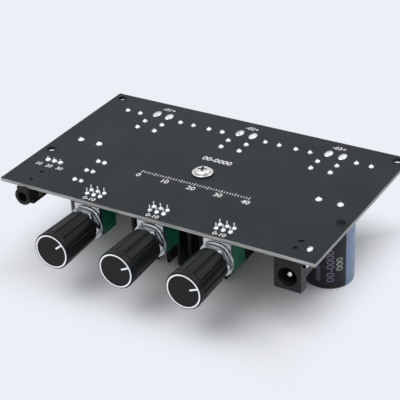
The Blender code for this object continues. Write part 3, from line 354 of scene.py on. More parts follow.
def cut(piece, tool, operation="DIFFERENCE"):
    """Boolean with a tool that is thrown away; the tool's own finish stays on the cut faces."""
    change = piece.modifiers.new("cut", "BOOLEAN")
    change.operation = operation
    change.solver = "EXACT"
    change.material_mode = "TRANSFER"
    change.object = tool
    apply_all(piece)
    bpy.data.objects.remove(tool)


def cut_cross(piece, long, wide, bottom, top, material):
    """Cuts with two crossed blades, given by their half sizes and their ends in mm."""
    for half_x, half_y in ((long, wide), (wide, long)):
        blade = box_piece("blade", (-half_x, -half_y, bottom), (half_x, half_y, top))
        dress(blade, material)
        cut(piece, blade)


def round_edges(piece, width, angle):
    """Bevels every edge sharper than the angle, in mm and degrees."""
    change = piece.modifiers.new("edges", "BEVEL")
    change.width = width * MM
    change.segments = BEVEL_STEPS
    change.limit_method = "ANGLE"
    change.angle_limit = math.radians(angle)
    apply_all(piece)


def smooth(piece, angle=35.0):
    choose(piece)
    bpy.ops.object.shade_smooth_by_angle(angle=math.radians(angle))


def settle(piece, place, turn=(0.0, 0.0, 0.0)):
    """Sets a finished piece down at a world point and puts that place into its mesh."""
    choose(piece)
    piece.rotation_euler = [math.radians(angle) for angle in turn]
    piece.location = place
    bpy.ops.object.transform_apply(location=True, rotation=True, scale=True)
    return piece


def foot_of(name):
    """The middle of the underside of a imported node."""
    low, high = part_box(name)
    return Vector(((low.x + high.x) / 2, (low.y + high.y) / 2, low.z))


def copy_of(piece, name):
    """A copy with its own mesh."""
    copied = piece.copy()
    copied.data = piece.data.copy()
    copied.name = name
    scene.collection.objects.link(copied)
    return copied


def joined(pieces, name):
    choose(*pieces)
    bpy.ops.object.join()
    bpy.context.object.name = name
    return bpy.context.object


def dress(piece, *materials):
    piece.data.materials.clear()
    for material in materials:
        piece.data.materials.append(material)


def paint(piece, index, test):
    """Gives the faces for which the test is true another of the piece's finishes."""
    for face in piece.data.polygons:
        if test(face):
            face.material_index = index


def flat_text(text, size, thickness=0.0, swell=0.0, steps=12):
    """Centred text as a mesh: `swell` mm bolder than the plain letters, in `steps` parts a curve."""
    fresh()
    bpy.ops.object.text_add(location=(0, 0, 0))
    line = bpy.context.object
    line.data.body = text
    line.data.size = size * MM
    line.data.align_x = "CENTER"
    line.data.align_y = "CENTER"
    line.data.extrude = thickness / 2 * MM
    line.data.offset = swell * MM
    line.data.resolution_u = steps
    bpy.ops.object.convert(target="MESH")
    return bpy.context.object


def refinish(names, material):
    """A CAD node keeps its mesh and gets a better finish."""
    for name in names:
        dress(frame["nodes"][name], material)


def nodes_like(word):
    return sorted(name for name in frame["nodes"] if word in name)


print("helpers for modelling are ready")

# %% [markdown]
# The floor is one wide pale sheet. It keeps the soft shadow under the board, which tells the eye that
# the capacitors stand on it. Past the object's outline the camera and mirroring metal see it fade to
# the even tone of the photograph's background; as a source of soft light it stays plain paper. It is
# marked as stage, so it is no part of the object.

# %% Floor
FLOOR_SIZE = 8.0
OUTLINE = (57.5, 45.0)
FADE_START = -18.0
FADE_END = 10.0
PAPER = (0.850, 0.860, 0.880)
fresh()
bpy.ops.mesh.primitive_plane_add(size=FLOOR_SIZE, location=(0, 0, 0))
floor = bpy.context.object
floor.name = "floor"
paper = finish("floor_paper", PAPER, 0.9, specular=0.0)
beyond = [math_node(paper, "SUBTRACT", math_node(paper, "ABSOLUTE", axis_value(paper, axis)), half * MM)
          for axis, half in zip("XY", OUTLINE)]
fade = node(paper, "ShaderNodeMapRange", From_Min=FADE_START * MM, From_Max=FADE_END * MM)
fade.interpolation_type = "SMOOTHSTEP"
link(paper, math_node(paper, "MAXIMUM", *beyond), fade.inputs["Value"])
glow = node(paper, "ShaderNodeEmission", Color=(*BACKGROUND, 1.0))
blend = node(paper, "ShaderNodeMixShader")
link(paper, math_node(paper, "MULTIPLY", fade.outputs["Result"], seen_or_mirrored(paper)), blend.inputs["Fac"])
link(paper, shader_of(paper).outputs["BSDF"], blend.inputs[1])
link(paper, glow.outputs["Emission"], blend.inputs[2])
link(paper, blend.outputs["Shader"], paper.node_tree.nodes["Material Output"].inputs["Surface"])
dress(floor, paper)
floor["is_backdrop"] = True
print("floor", FLOOR_SIZE, "m")

# %% [markdown]
# The board is black lacquer over copper, satin, with the copper under it just showing as raised
# islands. Its sawn edges are bare fibreglass, pale grey with fine layers along them. One material does
# both: the face's own direction tells edges from faces, and its place on the outline tells the outer
# edge from the walls of the holes. The walls of the holes keep the dark lacquer colour as painted shade.

# %% Board lacquer
MASK_COLOURS = ((0.026, 0.030, 0.034), (0.034, 0.039, 0.044))
GLASS_COLOURS = ((0.24, 0.25, 0.24), (0.52, 0.51, 0.50))
STEEP = 0.5
EDGE_REACH = 0.1
lacquer = finish("solder_mask", (0.030, 0.034, 0.039), 0.42, specular=0.06)
cloudy_gloss(lacquer, 0.38, 0.48, 180.0)
islands = node(lacquer, "ShaderNodeTexVoronoi", Scale=260.0)
islands.distance = "CHEBYCHEV"
islands.feature = "F2"
link(lacquer, object_place(lacquer, (1.0, 1.6, 0.0)), islands.inputs["Vector"])
relief(lacquer, islands.outputs["Distance"], 0.00004, 0.10)
relief(lacquer, noise(lacquer, 2200.0), 0.00001, 0.15)
mask_colour = ramp(lacquer, noise(lacquer, 90.0), zip(WIDE_SPAN, MASK_COLOURS))
glass_layers = noise(lacquer, 900.0, 3.0, (0.12, 0.12, 3.0))
glass_colour = ramp(lacquer, glass_layers, zip(NARROW_SPAN, GLASS_COLOURS))
facing = node(lacquer, "ShaderNodeSeparateXYZ")
coordinates = node(lacquer, "ShaderNodeTexCoord")
link(lacquer, coordinates.outputs["Normal"], facing.inputs["Vector"])
upright = math_node(lacquer, "LESS_THAN", math_node(lacquer, "ABSOLUTE", facing.outputs["Z"]), STEEP)
middle = (board_low + board_high) / 2
# Upright faces away from the outline, the walls of the holes, keep the dark lacquer colour: painted shade
# inside the holes.
reach = [math_node(lacquer, "GREATER_THAN", math_node(lacquer, "ABSOLUTE", math_node(
    lacquer, "SUBTRACT", axis_value(lacquer, axis), centre)), half * MM - EDGE_REACH * MM)
    for axis, centre, half in (("X", middle.x, BOARD_LENGTH / 2), ("Y", middle.y, BOARD_DEPTH / 2))]
edge_share = math_node(lacquer, "MULTIPLY", upright, math_node(lacquer, "MAXIMUM", *reach))
edge_mix = node(lacquer, "ShaderNodeMix")
edge_mix.data_type = "RGBA"
link(lacquer, edge_share, edge_mix.inputs["Factor"])
link(lacquer, mask_colour, edge_mix.inputs["A"])
link(lacquer, glass_colour, edge_mix.inputs["B"])
link(lacquer, edge_mix.outputs["Result"], shader_of(lacquer).inputs["Base Color"])
refinish(["circuit_board"], lacquer)
print("board lacquer on", len(frame["nodes"]["circuit_board"].data.polygons), "faces")

# %% [markdown]
# Metals come next: tinned solder, plated steels, nickel, black anodised aluminium, brass and copper.
# Each gets a fine unevenness, because a perfectly even metal looks like plastic at this size.

# %% Metals
solder = finish("solder_tin", (0.84, 0.85, 0.87), 0.22, metallic=1.0)
cloudy_colour(solder, (0.50, 0.51, 0.53), (0.94, 0.95, 0.97), 600.0)
cloudy_gloss(solder, 0.14, 0.32, 1400.0)
relief(solder, noise(solder, 1200.0), 0.00003, 0.20)

plated = finish("plated_steel", (0.60, 0.61, 0.61), 0.26, metallic=1.0)
cloudy_gloss(plated, 0.20, 0.32, 500.0)
relief(plated, noise(plated, 900.0), 0.00001, 0.08)

nut_steel = finish("nut_steel", (0.54, 0.56, 0.57), 0.22, metallic=1.0)
cloudy_gloss(nut_steel, 0.18, 0.30, 500.0)

# Dark steel colour painted into the screw's cross recess as shade.
recess_steel = finish("recess_steel", (0.16, 0.155, 0.14), 0.45, metallic=1.0)
cloudy_colour(recess_steel, (0.12, 0.115, 0.105), (0.20, 0.195, 0.18), 900.0)

nickel = finish("nickel_screw", (0.80, 0.79, 0.75), 0.22, metallic=1.0)
cloudy_gloss(nickel, 0.20, 0.34, 900.0)

anodised = finish("anodised_black", (0.007, 0.009, 0.009), 0.30, specular=0.16)
cloudy_gloss(anodised, 0.26, 0.36, 600.0)
relief(anodised, noise(anodised, 4000.0), 0.00001, 0.25)

# The cut ring and pointer: near-white and barely metallic, so the ring's reflection is a painted, even glint
# all round.
white_cut_and_glint = finish("bright_cut_aluminium", (0.96, 0.97, 0.98), 0.24, metallic=0.1)
cloudy_gloss(white_cut_and_glint, 0.18, 0.32, 1500.0)

brass = finish("spring_brass", (0.52, 0.46, 0.26), 0.34, metallic=1.0)
cloudy_colour(brass, (0.40, 0.35, 0.18), (0.60, 0.54, 0.32), 900.0)

copper = finish("enamelled_copper", (0.52, 0.19, 0.08), 0.28, metallic=1.0, coat=0.4)
cloudy_colour(copper, (0.42, 0.14, 0.05), (0.62, 0.25, 0.11), 500.0)
print("metals are ready")

# %% [markdown]
# Moulded plastics, rubber and ferrite are dull beside the metals. Their colour hardly changes, but
# they have a slight grain and a gloss that wanders.

# %% Plastics and ceramics
black_plastic = finish("black_plastic", (0.008, 0.009, 0.010), 0.38, specular=0.2)
cloudy_gloss(black_plastic, 0.30, 0.46, 500.0)
relief(black_plastic, noise(black_plastic, 3500.0), 0.00001, 0.25)

epoxy = finish("chip_epoxy", (0.018, 0.018, 0.019), 0.55)
cloudy_gloss(epoxy, 0.48, 0.62, 1500.0)
relief(epoxy, noise(epoxy, 5000.0), 0.00001, 0.4)

green_plastic = finish("terminal_green", (0.020, 0.190, 0.075), 0.34)
cloudy_colour(green_plastic, (0.017, 0.170, 0.066), (0.023, 0.210, 0.084), 200.0)
relief(green_plastic, noise(green_plastic, 3000.0), 0.00001, 0.25)

wafer_green = finish("wafer_green", (0.008, 0.110, 0.064), 0.36, specular=0.25)
cloudy_colour(wafer_green, (0.006, 0.090, 0.052), (0.010, 0.130, 0.076), 350.0)
relief(wafer_green, noise(wafer_green, 2500.0), 0.00002, 0.3)

rubber = finish("seal_rubber", (0.020, 0.020, 0.020), 0.75)
relief(rubber, noise(rubber, 2500.0), 0.00003, 0.4)

ferrite = finish("ferrite", (0.035, 0.032, 0.032), 0.55)
cloudy_colour(ferrite, (0.028, 0.026, 0.026), (0.050, 0.045, 0.044), 700.0)
relief(ferrite, noise(ferrite, 2500.0), 0.00004, 0.5)

film_coat = finish("film_dip", (0.330, 0.035, 0.020), 0.22, coat=0.5)
cloudy_colour(film_coat, (0.28, 0.028, 0.016), (0.38, 0.045, 0.025), 250.0)
relief(film_coat, noise(film_coat, 500.0), 0.00008, 0.3)

print("plastics and ceramics are ready")

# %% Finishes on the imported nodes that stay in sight
refinish(nodes_like("shaft"), plated)
refinish(nodes_like("contact"), brass)
print("shafts and contacts have a finish")

# %% [markdown]
# The three knobs are turned from aluminium, anodised black, and then cut once more: narrow grooves for
# the fingers, a bright ring round the face and a short milled pointer. The ring's shine is a painted
# glint, an even near-white all round. One knob is turned on a lathe, grooved with a ring of round
# cutters, and copied to each shaft.

# %% One knob
KNOB_LENGTH = 16.7
KNOB_REAR_RADIUS = 5.65
KNOB_FRONT_RADIUS = 6.25
KNOB_GROOVES = 12
GROOVE_RADIUS = 0.55
GROOVE_DEPTH = 0.5
GROOVE_TURN = 11.0
GROOVE_GAP = 0.9
COLLAR = 1.7
EDGE = 0.5
RING_WIDTH = 0.5
FACE_RECESS = 0.2
BACK_CORNER = 0.2
COLLAR_GROOVE = ((0.24, 0.42), (0.30, 0.30), (0.24, 0.18))
GROOVE_RUN = 0.6
FRONT_ROUND = ((0.0, EDGE), (0.07, 0.25), (0.25, 0.07), (EDGE, 0.0))
POINTER_START = 2.2
POINTER_WIDTH = 0.6
POINTER_DEPTH = 0.06
SHAFT_BORE = 3.3
BUSHING_BORE = 3.8
BORE_DEPTH = 13.6
BUSHING_DEPTH = 2.1


def knob_radius(height):
    """Radius of the tapered skin at a height in mm from the knob's back."""
    return KNOB_REAR_RADIUS + (KNOB_FRONT_RADIUS - KNOB_REAR_RADIUS) * height / KNOB_LENGTH


def knob_blank():
    collar = KNOB_LENGTH - COLLAR
    face = KNOB_LENGTH - FACE_RECESS
    inner = KNOB_FRONT_RADIUS - EDGE - RING_WIDTH
    profile = [(0.0, BORE_DEPTH), (SHAFT_BORE, BORE_DEPTH), (SHAFT_BORE, BUSHING_DEPTH),
               (BUSHING_BORE, BUSHING_DEPTH), (BUSHING_BORE, 0.0), (KNOB_REAR_RADIUS - BACK_CORNER, 0.0),
               (KNOB_REAR_RADIUS, BACK_CORNER), (knob_radius(collar - GROOVE_RUN), collar - GROOVE_RUN)]
    profile += [(knob_radius(collar) - inward, collar - below) for inward, below in COLLAR_GROOVE]
    profile.append((knob_radius(collar), collar))
    profile += [(KNOB_FRONT_RADIUS - inward, KNOB_LENGTH - below) for inward, below in FRONT_ROUND]
    profile += [(inner, KNOB_LENGTH), (inner - FACE_RECESS, face), (0.0, face)]
    return lathe("knob_blank", profile, 96)


def groove_cutters():
    """A ring of round-ended rods that lean with the knob's taper."""
    top = KNOB_LENGTH - COLLAR - GROOVE_GAP
    ends = [(GROOVE_RADIUS * math.cos(turn), top + GROOVE_RADIUS * math.sin(turn))
            for turn in (math.radians(step) for step in (0, 30, 60))]
    foot = [(0.0, -CUTTER_REACH), (GROOVE_RADIUS, -CUTTER_REACH)]
    rod = lathe("groove_cutter", foot + ends + [(0.0, top + GROOVE_RADIUS)], 16)
    taper = math.degrees(math.atan((KNOB_FRONT_RADIUS - KNOB_REAR_RADIUS) / KNOB_LENGTH))
    offset = KNOB_REAR_RADIUS + GROOVE_RADIUS - GROOVE_DEPTH
    settle(rod, (offset * MM, 0.0, 0.0), (0.0, taper, 0.0))
    settle(rod, (0.0, 0.0, 0.0), (0.0, 0.0, GROOVE_TURN))
    edit(rod)
    bpy.ops.mesh.select_all(action="SELECT")
    angle = 2 * math.pi * (KNOB_GROOVES - 1) / KNOB_GROOVES
    bpy.ops.mesh.spin(steps=KNOB_GROOVES - 1, dupli=True, angle=angle, center=(0, 0, 0), axis=(0, 0, 1))
    bpy.ops.object.mode_set(mode="OBJECT")
    dress(rod, anodised)
    return rod


def knob():
    """Finish 0 is black, 1 the cut ring and pointer, near-white with a painted glint."""
    piece = knob_blank()
    dress(piece, anodised, white_cut_and_glint)
    ring = KNOB_FRONT_RADIUS - EDGE - RING_WIDTH / 2
    paint(piece, 1, lambda face: face.center.z > (KNOB_LENGTH - 0.01) * MM
          and abs(face.center.xy.length - ring * MM) < 0.2 * MM)
    cut(piece, groove_cutters())
    face = KNOB_LENGTH - FACE_RECESS
    rim = KNOB_FRONT_RADIUS - EDGE - RING_WIDTH - FACE_RECESS
    slit = box_piece("pointer_cutter", (POINTER_START, -POINTER_WIDTH / 2, face - POINTER_DEPTH),
                     (rim, POINTER_WIDTH / 2, face + CUTTER_REACH))
    dress(slit, white_cut_and_glint)
    cut(piece, slit)
    smooth(piece, 32.0)
    return piece


knob_model = knob()
print("knob", len(knob_model.data.polygons), "faces")

# %% Set a knob on each shaft
POINTER_BEFORE_STOP = 60.0
controls = {joint["name"].replace("_turn", ""): joint for joint in frame["joints"]}
for name, joint in controls.items():
    piece = copy_of(knob_model, f"{name}_fluted_knob")
    axis = Vector(joint["pos_m"])
    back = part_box(f"{name}_knob")[1].y
    pointer = joint["range_deg"][0] + POINTER_BEFORE_STOP
    settle(piece, (axis.x, back, axis.z), (90.0, -pointer, 0.0))
    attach(piece, f"{name}_control")
    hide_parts(f"{name}_knob")
    print(name, "pointer at", round(pointer, 1), "degrees")
bpy.data.objects.remove(knob_model)

# %% [markdown]
# Behind each knob a thin washer and a flat nut clamp the control to its panel. The washer is a ring
# with its stamped edges broken, and the nut is a chamfered disc cut to a hexagon, which gives the
# curved corners of a real one.

# %% Washers and nuts
WASHER_RADIUS = 6.0
WASHER_THICKNESS = 0.5
NUT_FLATS = 10.0
NUT_THICKNESS = 1.8
NUT_CHAMFER = 0.45
NUT_SHOULDER = 0.7
THREAD_HOLE = 3.8
THREAD_CHAMFER = 0.3
STAMPED_CORNER = 0.08


def washer_piece(name, hole, radius, thickness, material):
    """A flat ring with broken edges, its lower face at zero."""
    corner = STAMPED_CORNER
    profile = [(hole, corner), (hole + corner, 0.0), (radius - corner, 0.0), (radius, corner),
               (radius, thickness - corner), (radius - corner, thickness), (hole + corner, thickness),
               (hole, thickness - corner), (hole, corner)]
    piece = lathe(name, profile, 64)
    dress(piece, material)
    smooth(piece)
    return piece


def hexagon_nut():
    corner = NUT_FLATS / 2 / math.cos(math.pi / 6)
    shoulder, mouth, top = corner - NUT_SHOULDER, THREAD_HOLE + THREAD_CHAMFER, NUT_THICKNESS
    profile = [(THREAD_HOLE, THREAD_CHAMFER), (mouth, 0.0), (shoulder, 0.0), (corner, NUT_CHAMFER),
               (corner, top - NUT_CHAMFER), (shoulder, top), (mouth, top),
               (THREAD_HOLE, top - THREAD_CHAMFER), (THREAD_HOLE, THREAD_CHAMFER)]
    nut = lathe("nut_model", profile, 72)
    fresh()
    bpy.ops.mesh.primitive_cylinder_add(vertices=6, radius=corner * MM, depth=4 * NUT_THICKNESS * MM,
                                        rotation=(0.0, 0.0, math.radians(30.0)))
    prism = bpy.context.object
    bpy.ops.object.transform_apply(location=True, rotation=True, scale=True)
    dress(nut, nut_steel)
    dress(prism, nut_steel)
    cut(nut, prism, "INTERSECT")
    smooth(nut, 12.0)
    return nut


washer_model = washer_piece("washer_model", THREAD_HOLE, WASHER_RADIUS, WASHER_THICKNESS, nut_steel)
nut_model = hexagon_nut()
for name, joint in controls.items():
    axis = Vector(joint["pos_m"])
    for model, kind in ((washer_model, "washer"), (nut_model, "nut")):
        piece = copy_of(model, f"{name}_flat_{kind}")
        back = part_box(f"{name}_{kind}")[1].y
        settle(piece, (axis.x, back, axis.z), (90.0, 0.0, 0.0))
        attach(piece, "board")
        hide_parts(f"{name}_{kind}")
for model in (washer_model, nut_model):
    bpy.data.objects.remove(model)
print("washers and nuts on", len(controls), "controls")

# %% [markdown]
# Every lead that comes through the board ends in a low dome of solder, and these bright dots are what
# the eye sees first on this side. The leads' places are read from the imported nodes. A dome is turned
# once for each kind of lead and copied, and its foot rests on the board. The bare lead above the
# solder is a little duller.

# %% Places of the leads
LEAD_LEVEL = 0.7
LEAD_SPAN = 1.2


def set_of(points):
    """The points without repeats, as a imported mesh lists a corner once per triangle."""
    rounded = {tuple(round(value, 6) for value in point) for point in points}
    return [Vector(place) for place in sorted(rounded)]


def lead_places(name):
    """Middle of each lead of a node, found from the points that stand out of the solder side."""
    level = solder_face + LEAD_LEVEL * MM
    groups = []
    for vertex in frame["nodes"][name].data.vertices:
        if vertex.co.z < level:
            continue
        near = [group for group in groups if (group[0].xy - vertex.co.xy).length < LEAD_SPAN * MM]
        if near:
            near[0].append(vertex.co)
        else:
            groups.append([vertex.co])
    corners = [set_of(group) for group in groups]
    return [sum((point.xy for point in group), Vector((0, 0))) / len(group) for group in corners]


# %% Domes of solder
# kind: pad radius, stretch along Y, lead radius, height of the solder and of the lead's tip, in mm
LEAD_KINDS = {
    "pot_body": (0.74, 1.0, 0.26, 0.66, 2.00),
    "clamp": (1.26, 1.6, 0.60, 0.66, 0.80),
    "seal": (1.06, 1.0, 0.40, 0.68, 0.90),
    "jack_housing": (0.80, 1.5, 0.40, 0.62, 0.70),
    "pin_header": (0.90, 1.0, 0.32, 0.75, 1.30),
    "choke": (0.82, 1.0, 0.33, 0.66, 0.90),
    "film_capacitor": (0.86, 1.0, 0.33, 0.68, 0.90),
    "small_capacitor": (0.80, 1.0, 0.33, 0.66, 0.85),
}
DOME_FOOT = ((0.14, 0.02), (0.12, 0.07))
DOME_START = 0.14
DOME_BULGE = 0.12
DOME_WALL = 0.03
LEAD_BELOW = 0.3


def dome(pad, stretch, lead, top, tip):
    """A lead through the board with its low dome of solder."""
    below_board = -(BOARD_THICKNESS + LEAD_BELOW)
    profile = [(0.0, below_board), (lead, below_board), (lead, DOME_FOOT[0][1])]
    profile += [(pad + out, rise) for out, rise in DOME_FOOT]
    for share in (0.0, 0.25, 0.5, 0.75, 1.0):
        bulge = DOME_BULGE * math.sin(math.pi * min(1.0, share + 0.15)) + DOME_WALL
        profile.append((pad + (lead - pad) * share + bulge, DOME_START + (top - DOME_START) * share))
    profile += [(lead, top + 0.04), (lead * 0.95, tip - 0.06), (lead * 0.7, tip), (0.0, tip + 0.02)]
    piece = lathe("dome_model", profile, 14)
    piece.scale.y = stretch
    settle(piece, (0.0, 0.0, 0.0))
    dress(piece, solder, nut_steel)
    paint(piece, 1, lambda face: face.center.z > (top + 0.04) * MM)
    smooth(piece, 50.0)
    return piece


domes = []
for kind, sizes in LEAD_KINDS.items():
    model = dome(*sizes)
    for name in nodes_like(kind):
        for place in lead_places(name):
            domes.append(settle(copy_of(model, "dome"), (place.x, place.y, solder_face)))
    bpy.data.objects.remove(model)
soldering = joined(domes, "solder_domes")
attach(soldering, "board")
print(len(domes), "domes of solder")

# %% [markdown]
# The white legends are screen-printed ink, a few hundredths of a millimetre thick. The real board
# carries names; here their places hold plain numbers, signs and a millimetre scale. Each line of text
# is made a mesh, because the printed shape has to stay with the board.

# %% White ink
ink = finish("white_ink", (0.80, 0.80, 0.78), 0.55)
cloudy_colour(ink, (0.66, 0.66, 0.64), (0.86, 0.86, 0.84), 1500.0)
INK_THICKNESS = 0.02
INK_SWELL = 0.022
# place along Y and letter height in mm
POT_LEGEND = (1.6, 2.5)
OUTPUT_LEGEND = (66.9, 2.6)
HEADER_LEGEND = (13.6, 2.5)
RULER_START = 40.0
RULER_LENGTH = 40
RULER_Y = 24.4
RULER_DIGITS = (21.8, 3.0)
TICK_WIDTH = 0.28
marks = []


def legend(text, x, y, size):
    """Text centred on a place of the board, `size` mm high from line to line."""
    line = flat_text(text, size, INK_THICKNESS, INK_SWELL * size, 3)
    marks.append(settle(line, spot(x, y, INK_THICKNESS)))


def stroke(x, y, long, wide):
    """A straight printed line, centred on a place of the board."""
    line = box_piece("stroke", (-long / 2, -wide / 2, 0.0), (long / 2, wide / 2, INK_THICKNESS))
    marks.append(settle(line, spot(x, y, INK_THICKNESS / 2)))


pot_xs = [(joint["pos_m"][0] - board_low.x) / MM for joint in controls.values()]
for x in sorted(pot_xs):
    legend("0-10", x, *POT_LEGEND)
for x, text in ((24.2, "-01+"), (58.0, "-02+"), (91.3, "-03+")):
    legend(text, x, *OUTPUT_LEGEND)
legend("00-0000", 58.5, 41.4, 3.3)
for step in range(0, RULER_LENGTH + 1, 10):
    legend(str(step), RULER_START + step, *RULER_DIGITS)
for step in range(RULER_LENGTH + 1):
    stroke(RULER_START + step, RULER_Y, TICK_WIDTH, 1.7 if step % 5 == 0 else 1.0)
for x, text in ((5.5, "10"), (9.7, "20"), (13.9, "30")):
    legend(text, x, *HEADER_LEGEND)
print_layer = joined(marks, "printed_marks")
dress(print_layer, ink)
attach(print_layer, "board")
print(len(marks), "printed marks")

# %% [markdown]
# The heatsink's screw is the one round head on this side. It is turned with a domed top, and the
# cross is cut with two blades. Its finish is nickel, a little warmer than the tin round it, and the
# cross is a dark steel colour, painted shade in the recess.

# %% Heatsink screw
SCREW_HEAD = [(1.5, 0.0), (2.5, 0.0), (2.7, 0.15), (2.7, 0.35), (2.6, 0.60), (2.3, 0.84), (1.8, 1.0),
              (1.2, 1.08)]
SCREW_HEIGHT = 1.1
SCREW_SEAT = 1.96
SCREW_SHANK = 9.7
BLADE_LENGTH = 3.1
BLADE_WIDTH = 0.75
BLADE_DEPTH = 0.95
SCREW_TURN = 20.0
SCREW_HOLE = 1.8
shank = [(0.0, -SCREW_SHANK), (1.2, -SCREW_SHANK), (1.5, 0.3 - SCREW_SHANK)]
screw = lathe("cross_screw", shank + SCREW_HEAD + [(0.0, SCREW_HEIGHT)], 48)
dress(screw, nickel, recess_steel)
cut_cross(screw, BLADE_LENGTH / 2, BLADE_WIDTH / 2, SCREW_HEIGHT - BLADE_DEPTH,
          SCREW_HEIGHT + CUTTER_REACH, recess_steel)
round_edges(screw, 0.07, 45.0)
smooth(screw)
low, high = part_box("heatsink_screw")
screw_place = (low + high) / 2
settle(screw, (screw_place.x, screw_place.y, high.z - SCREW_SEAT * MM), (0.0, 0.0, SCREW_TURN))
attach(screw, "board")
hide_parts("heatsink_screw")

low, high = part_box("heatsink_washer")
washer = washer_piece("screw_washer", SCREW_HOLE, (high.x - low.x) / 2 / MM, (high.z - low.z) / MM, nickel)
settle(washer, (screw_place.x, screw_place.y, low.z))
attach(washer, "board")
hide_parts("heatsink_washer")
print("screw", len(screw.data.polygons), "faces")

# %% [markdown]
# A tall capacitor is an aluminium can shrunk into a printed sleeve. The can is turned with its rounded
# rim and the rolled bead that grips the seal. The sleeve stops short of the end, where bare metal
# carries a scored cross that lets the can vent. The pale stripe is made by giving some faces of the
# sleeve another finish, so its edges are as sharp as print.

# %% Finishes of the sleeves
sleeve = finish("sleeve_black", (0.008, 0.010, 0.013), 0.30, specular=0.28)
cloudy_gloss(sleeve, 0.24, 0.36, 300.0)
relief(sleeve, noise(sleeve, 260.0, 2.0, (1.0, 1.0, 0.35)), 0.00004, 0.35)
stripe = finish("sleeve_stripe", (0.200, 0.270, 0.415), 0.32, specular=0.28)
cloudy_colour(stripe, (0.188, 0.255, 0.395), (0.212, 0.285, 0.435), 250.0)
can_metal = finish("can_aluminium", (0.72, 0.72, 0.73), 0.32, metallic=1.0)
cloudy_gloss(can_metal, 0.26, 0.40, 800.0)
lavender_ink = finish("lavender_ink", (0.16, 0.16, 0.25), 0.45)
cloudy_colour(lavender_ink, (0.13, 0.13, 0.21), (0.19, 0.19, 0.29), 900.0)
pale_ink = finish("pale_green_ink", (0.38, 0.43, 0.38), 0.45)
cloudy_colour(pale_ink, (0.33, 0.38, 0.33), (0.43, 0.48, 0.43), 900.0)
dark_ink = finish("dark_ink", (0.06, 0.075, 0.11), 0.45)
cloudy_colour(dark_ink, (0.05, 0.065, 0.10), (0.07, 0.085, 0.12), 900.0)
SLICE = 0.11
PRINT_GAP = 0.2


def can(name, radius, length, rim, bead_drop, seal_radius, seal_depth, half_stripe):
    """A sleeved can on its scored end, its stripe towards +X; half_stripe is in degrees."""
    bead, lip, foot = length - bead_drop, 1.55 * rim, 0.33 * rim
    wide, deep = 0.9 * rim, 0.75 * rim
    profile = [(0.0, foot), (radius - lip, foot), (radius - lip + 0.1, 0.05), (radius - lip + 0.3, 0.0),
               (radius - rim, 0.0), (radius - 0.5 * rim, 0.13 * rim), (radius - 0.13 * rim, 0.5 * rim),
               (radius, rim), (radius, bead - wide), (radius - 0.3 * deep, bead - 0.65 * wide),
               (radius - deep, bead - 0.15 * wide), (radius - deep, bead + 0.15 * wide),
               (radius - 0.3 * deep, bead + 0.65 * wide), (radius, bead + wide), (radius, length - 0.7 * rim),
               (radius - 0.2 * rim, length - 0.2 * rim), (radius - 0.7 * rim, length), (seal_radius, length),
               (seal_radius, length - seal_depth), (0.0, length - seal_depth)]
    piece = lathe(name, profile, 90)
    dress(piece, sleeve, stripe, can_metal, rubber)
    cut_cross(piece, 0.55 * radius, 0.02 * radius, -CUTTER_REACH, foot + 0.1, can_metal)
    paint(piece, 1, lambda face: abs(math.degrees(math.atan2(face.center.y, face.center.x))) < half_stripe
          and face.center.xy.length > (radius - rim) * MM and face.center.z > 0.1 * rim * MM)
    paint(piece, 2, lambda face: face.center.xy.length < (radius - lip + 0.02) * MM
          and face.center.z < rim * MM)
    paint(piece, 3, lambda face: face.center.xy.length < seal_radius * MM
          and face.center.z > (length - seal_depth - 0.1) * MM)
    smooth(piece)
    return piece


def wrapped(target, text, size, turn, height, material):
    """Print on a can: flat text, cut in thin slices so that it can bend, then drawn on to the sleeve."""
    line = flat_text(text, size)
    edit(line)
    for step in range(-4, 5):
        bpy.ops.mesh.select_all(action="SELECT")
        bpy.ops.mesh.bisect(plane_co=(0.0, step * SLICE * size * MM, 0.0), plane_no=(0.0, 1.0, 0.0))
    bpy.ops.object.mode_set(mode="OBJECT")
    out = Vector((math.cos(math.radians(turn)), math.sin(math.radians(turn)), 0.0))
    reach = max(vertex.co.x for vertex in target.data.vertices)
    settle(line, out * (reach + PRINT_GAP * MM) + Vector((0, 0, height * MM)), (0.0, -90.0, turn + 180.0))
    wrap = line.modifiers.new("wrap", "SHRINKWRAP")
    wrap.target = target
    wrap.wrap_mode = "ABOVE_SURFACE"
    wrap.offset = INK_THICKNESS * MM
    apply_all(line)
    dress(line, material)
    return line


# %% Tall capacitors
# text, its size, turn round the can in degrees, height and ink
CAN_PRINT = [("00-0000", 3.6, -60.5, 8.9, lavender_ink), ("000", 3.3, -39.5, 9.4, pale_ink),
             ("00000", 2.3, -88.0, 6.0, lavender_ink),
             ("-", 5.0, 0.0, 7.0, dark_ink), ("-", 5.0, 0.0, 13.0, dark_ink), ("-", 5.0, 0.0, 19.0, dark_ink)]
low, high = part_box("power_capacitor_right_can")
can_model = can("can_model", (high.x - low.x) / 2 / MM, (high.z - low.z) / MM, rim=0.9, bead_drop=3.0,
                seal_radius=6.45, seal_depth=1.9, half_stripe=24.0)
print_model = joined([wrapped(can_model, *line) for line in CAN_PRINT], "can_print_model")
for side, turn in (("right", 0.0), ("left", 180.0)):
    foot = foot_of(f"power_capacitor_{side}_can")
    for model, kind in ((can_model, "sleeved_can"), (print_model, "can_print")):
        piece = settle(copy_of(model, f"{side}_{kind}"), foot, (0.0, 0.0, turn))
        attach(piece, "board")
        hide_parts(f"power_capacitor_{side}_can")
for model in (can_model, print_model):
    bpy.data.objects.remove(model)

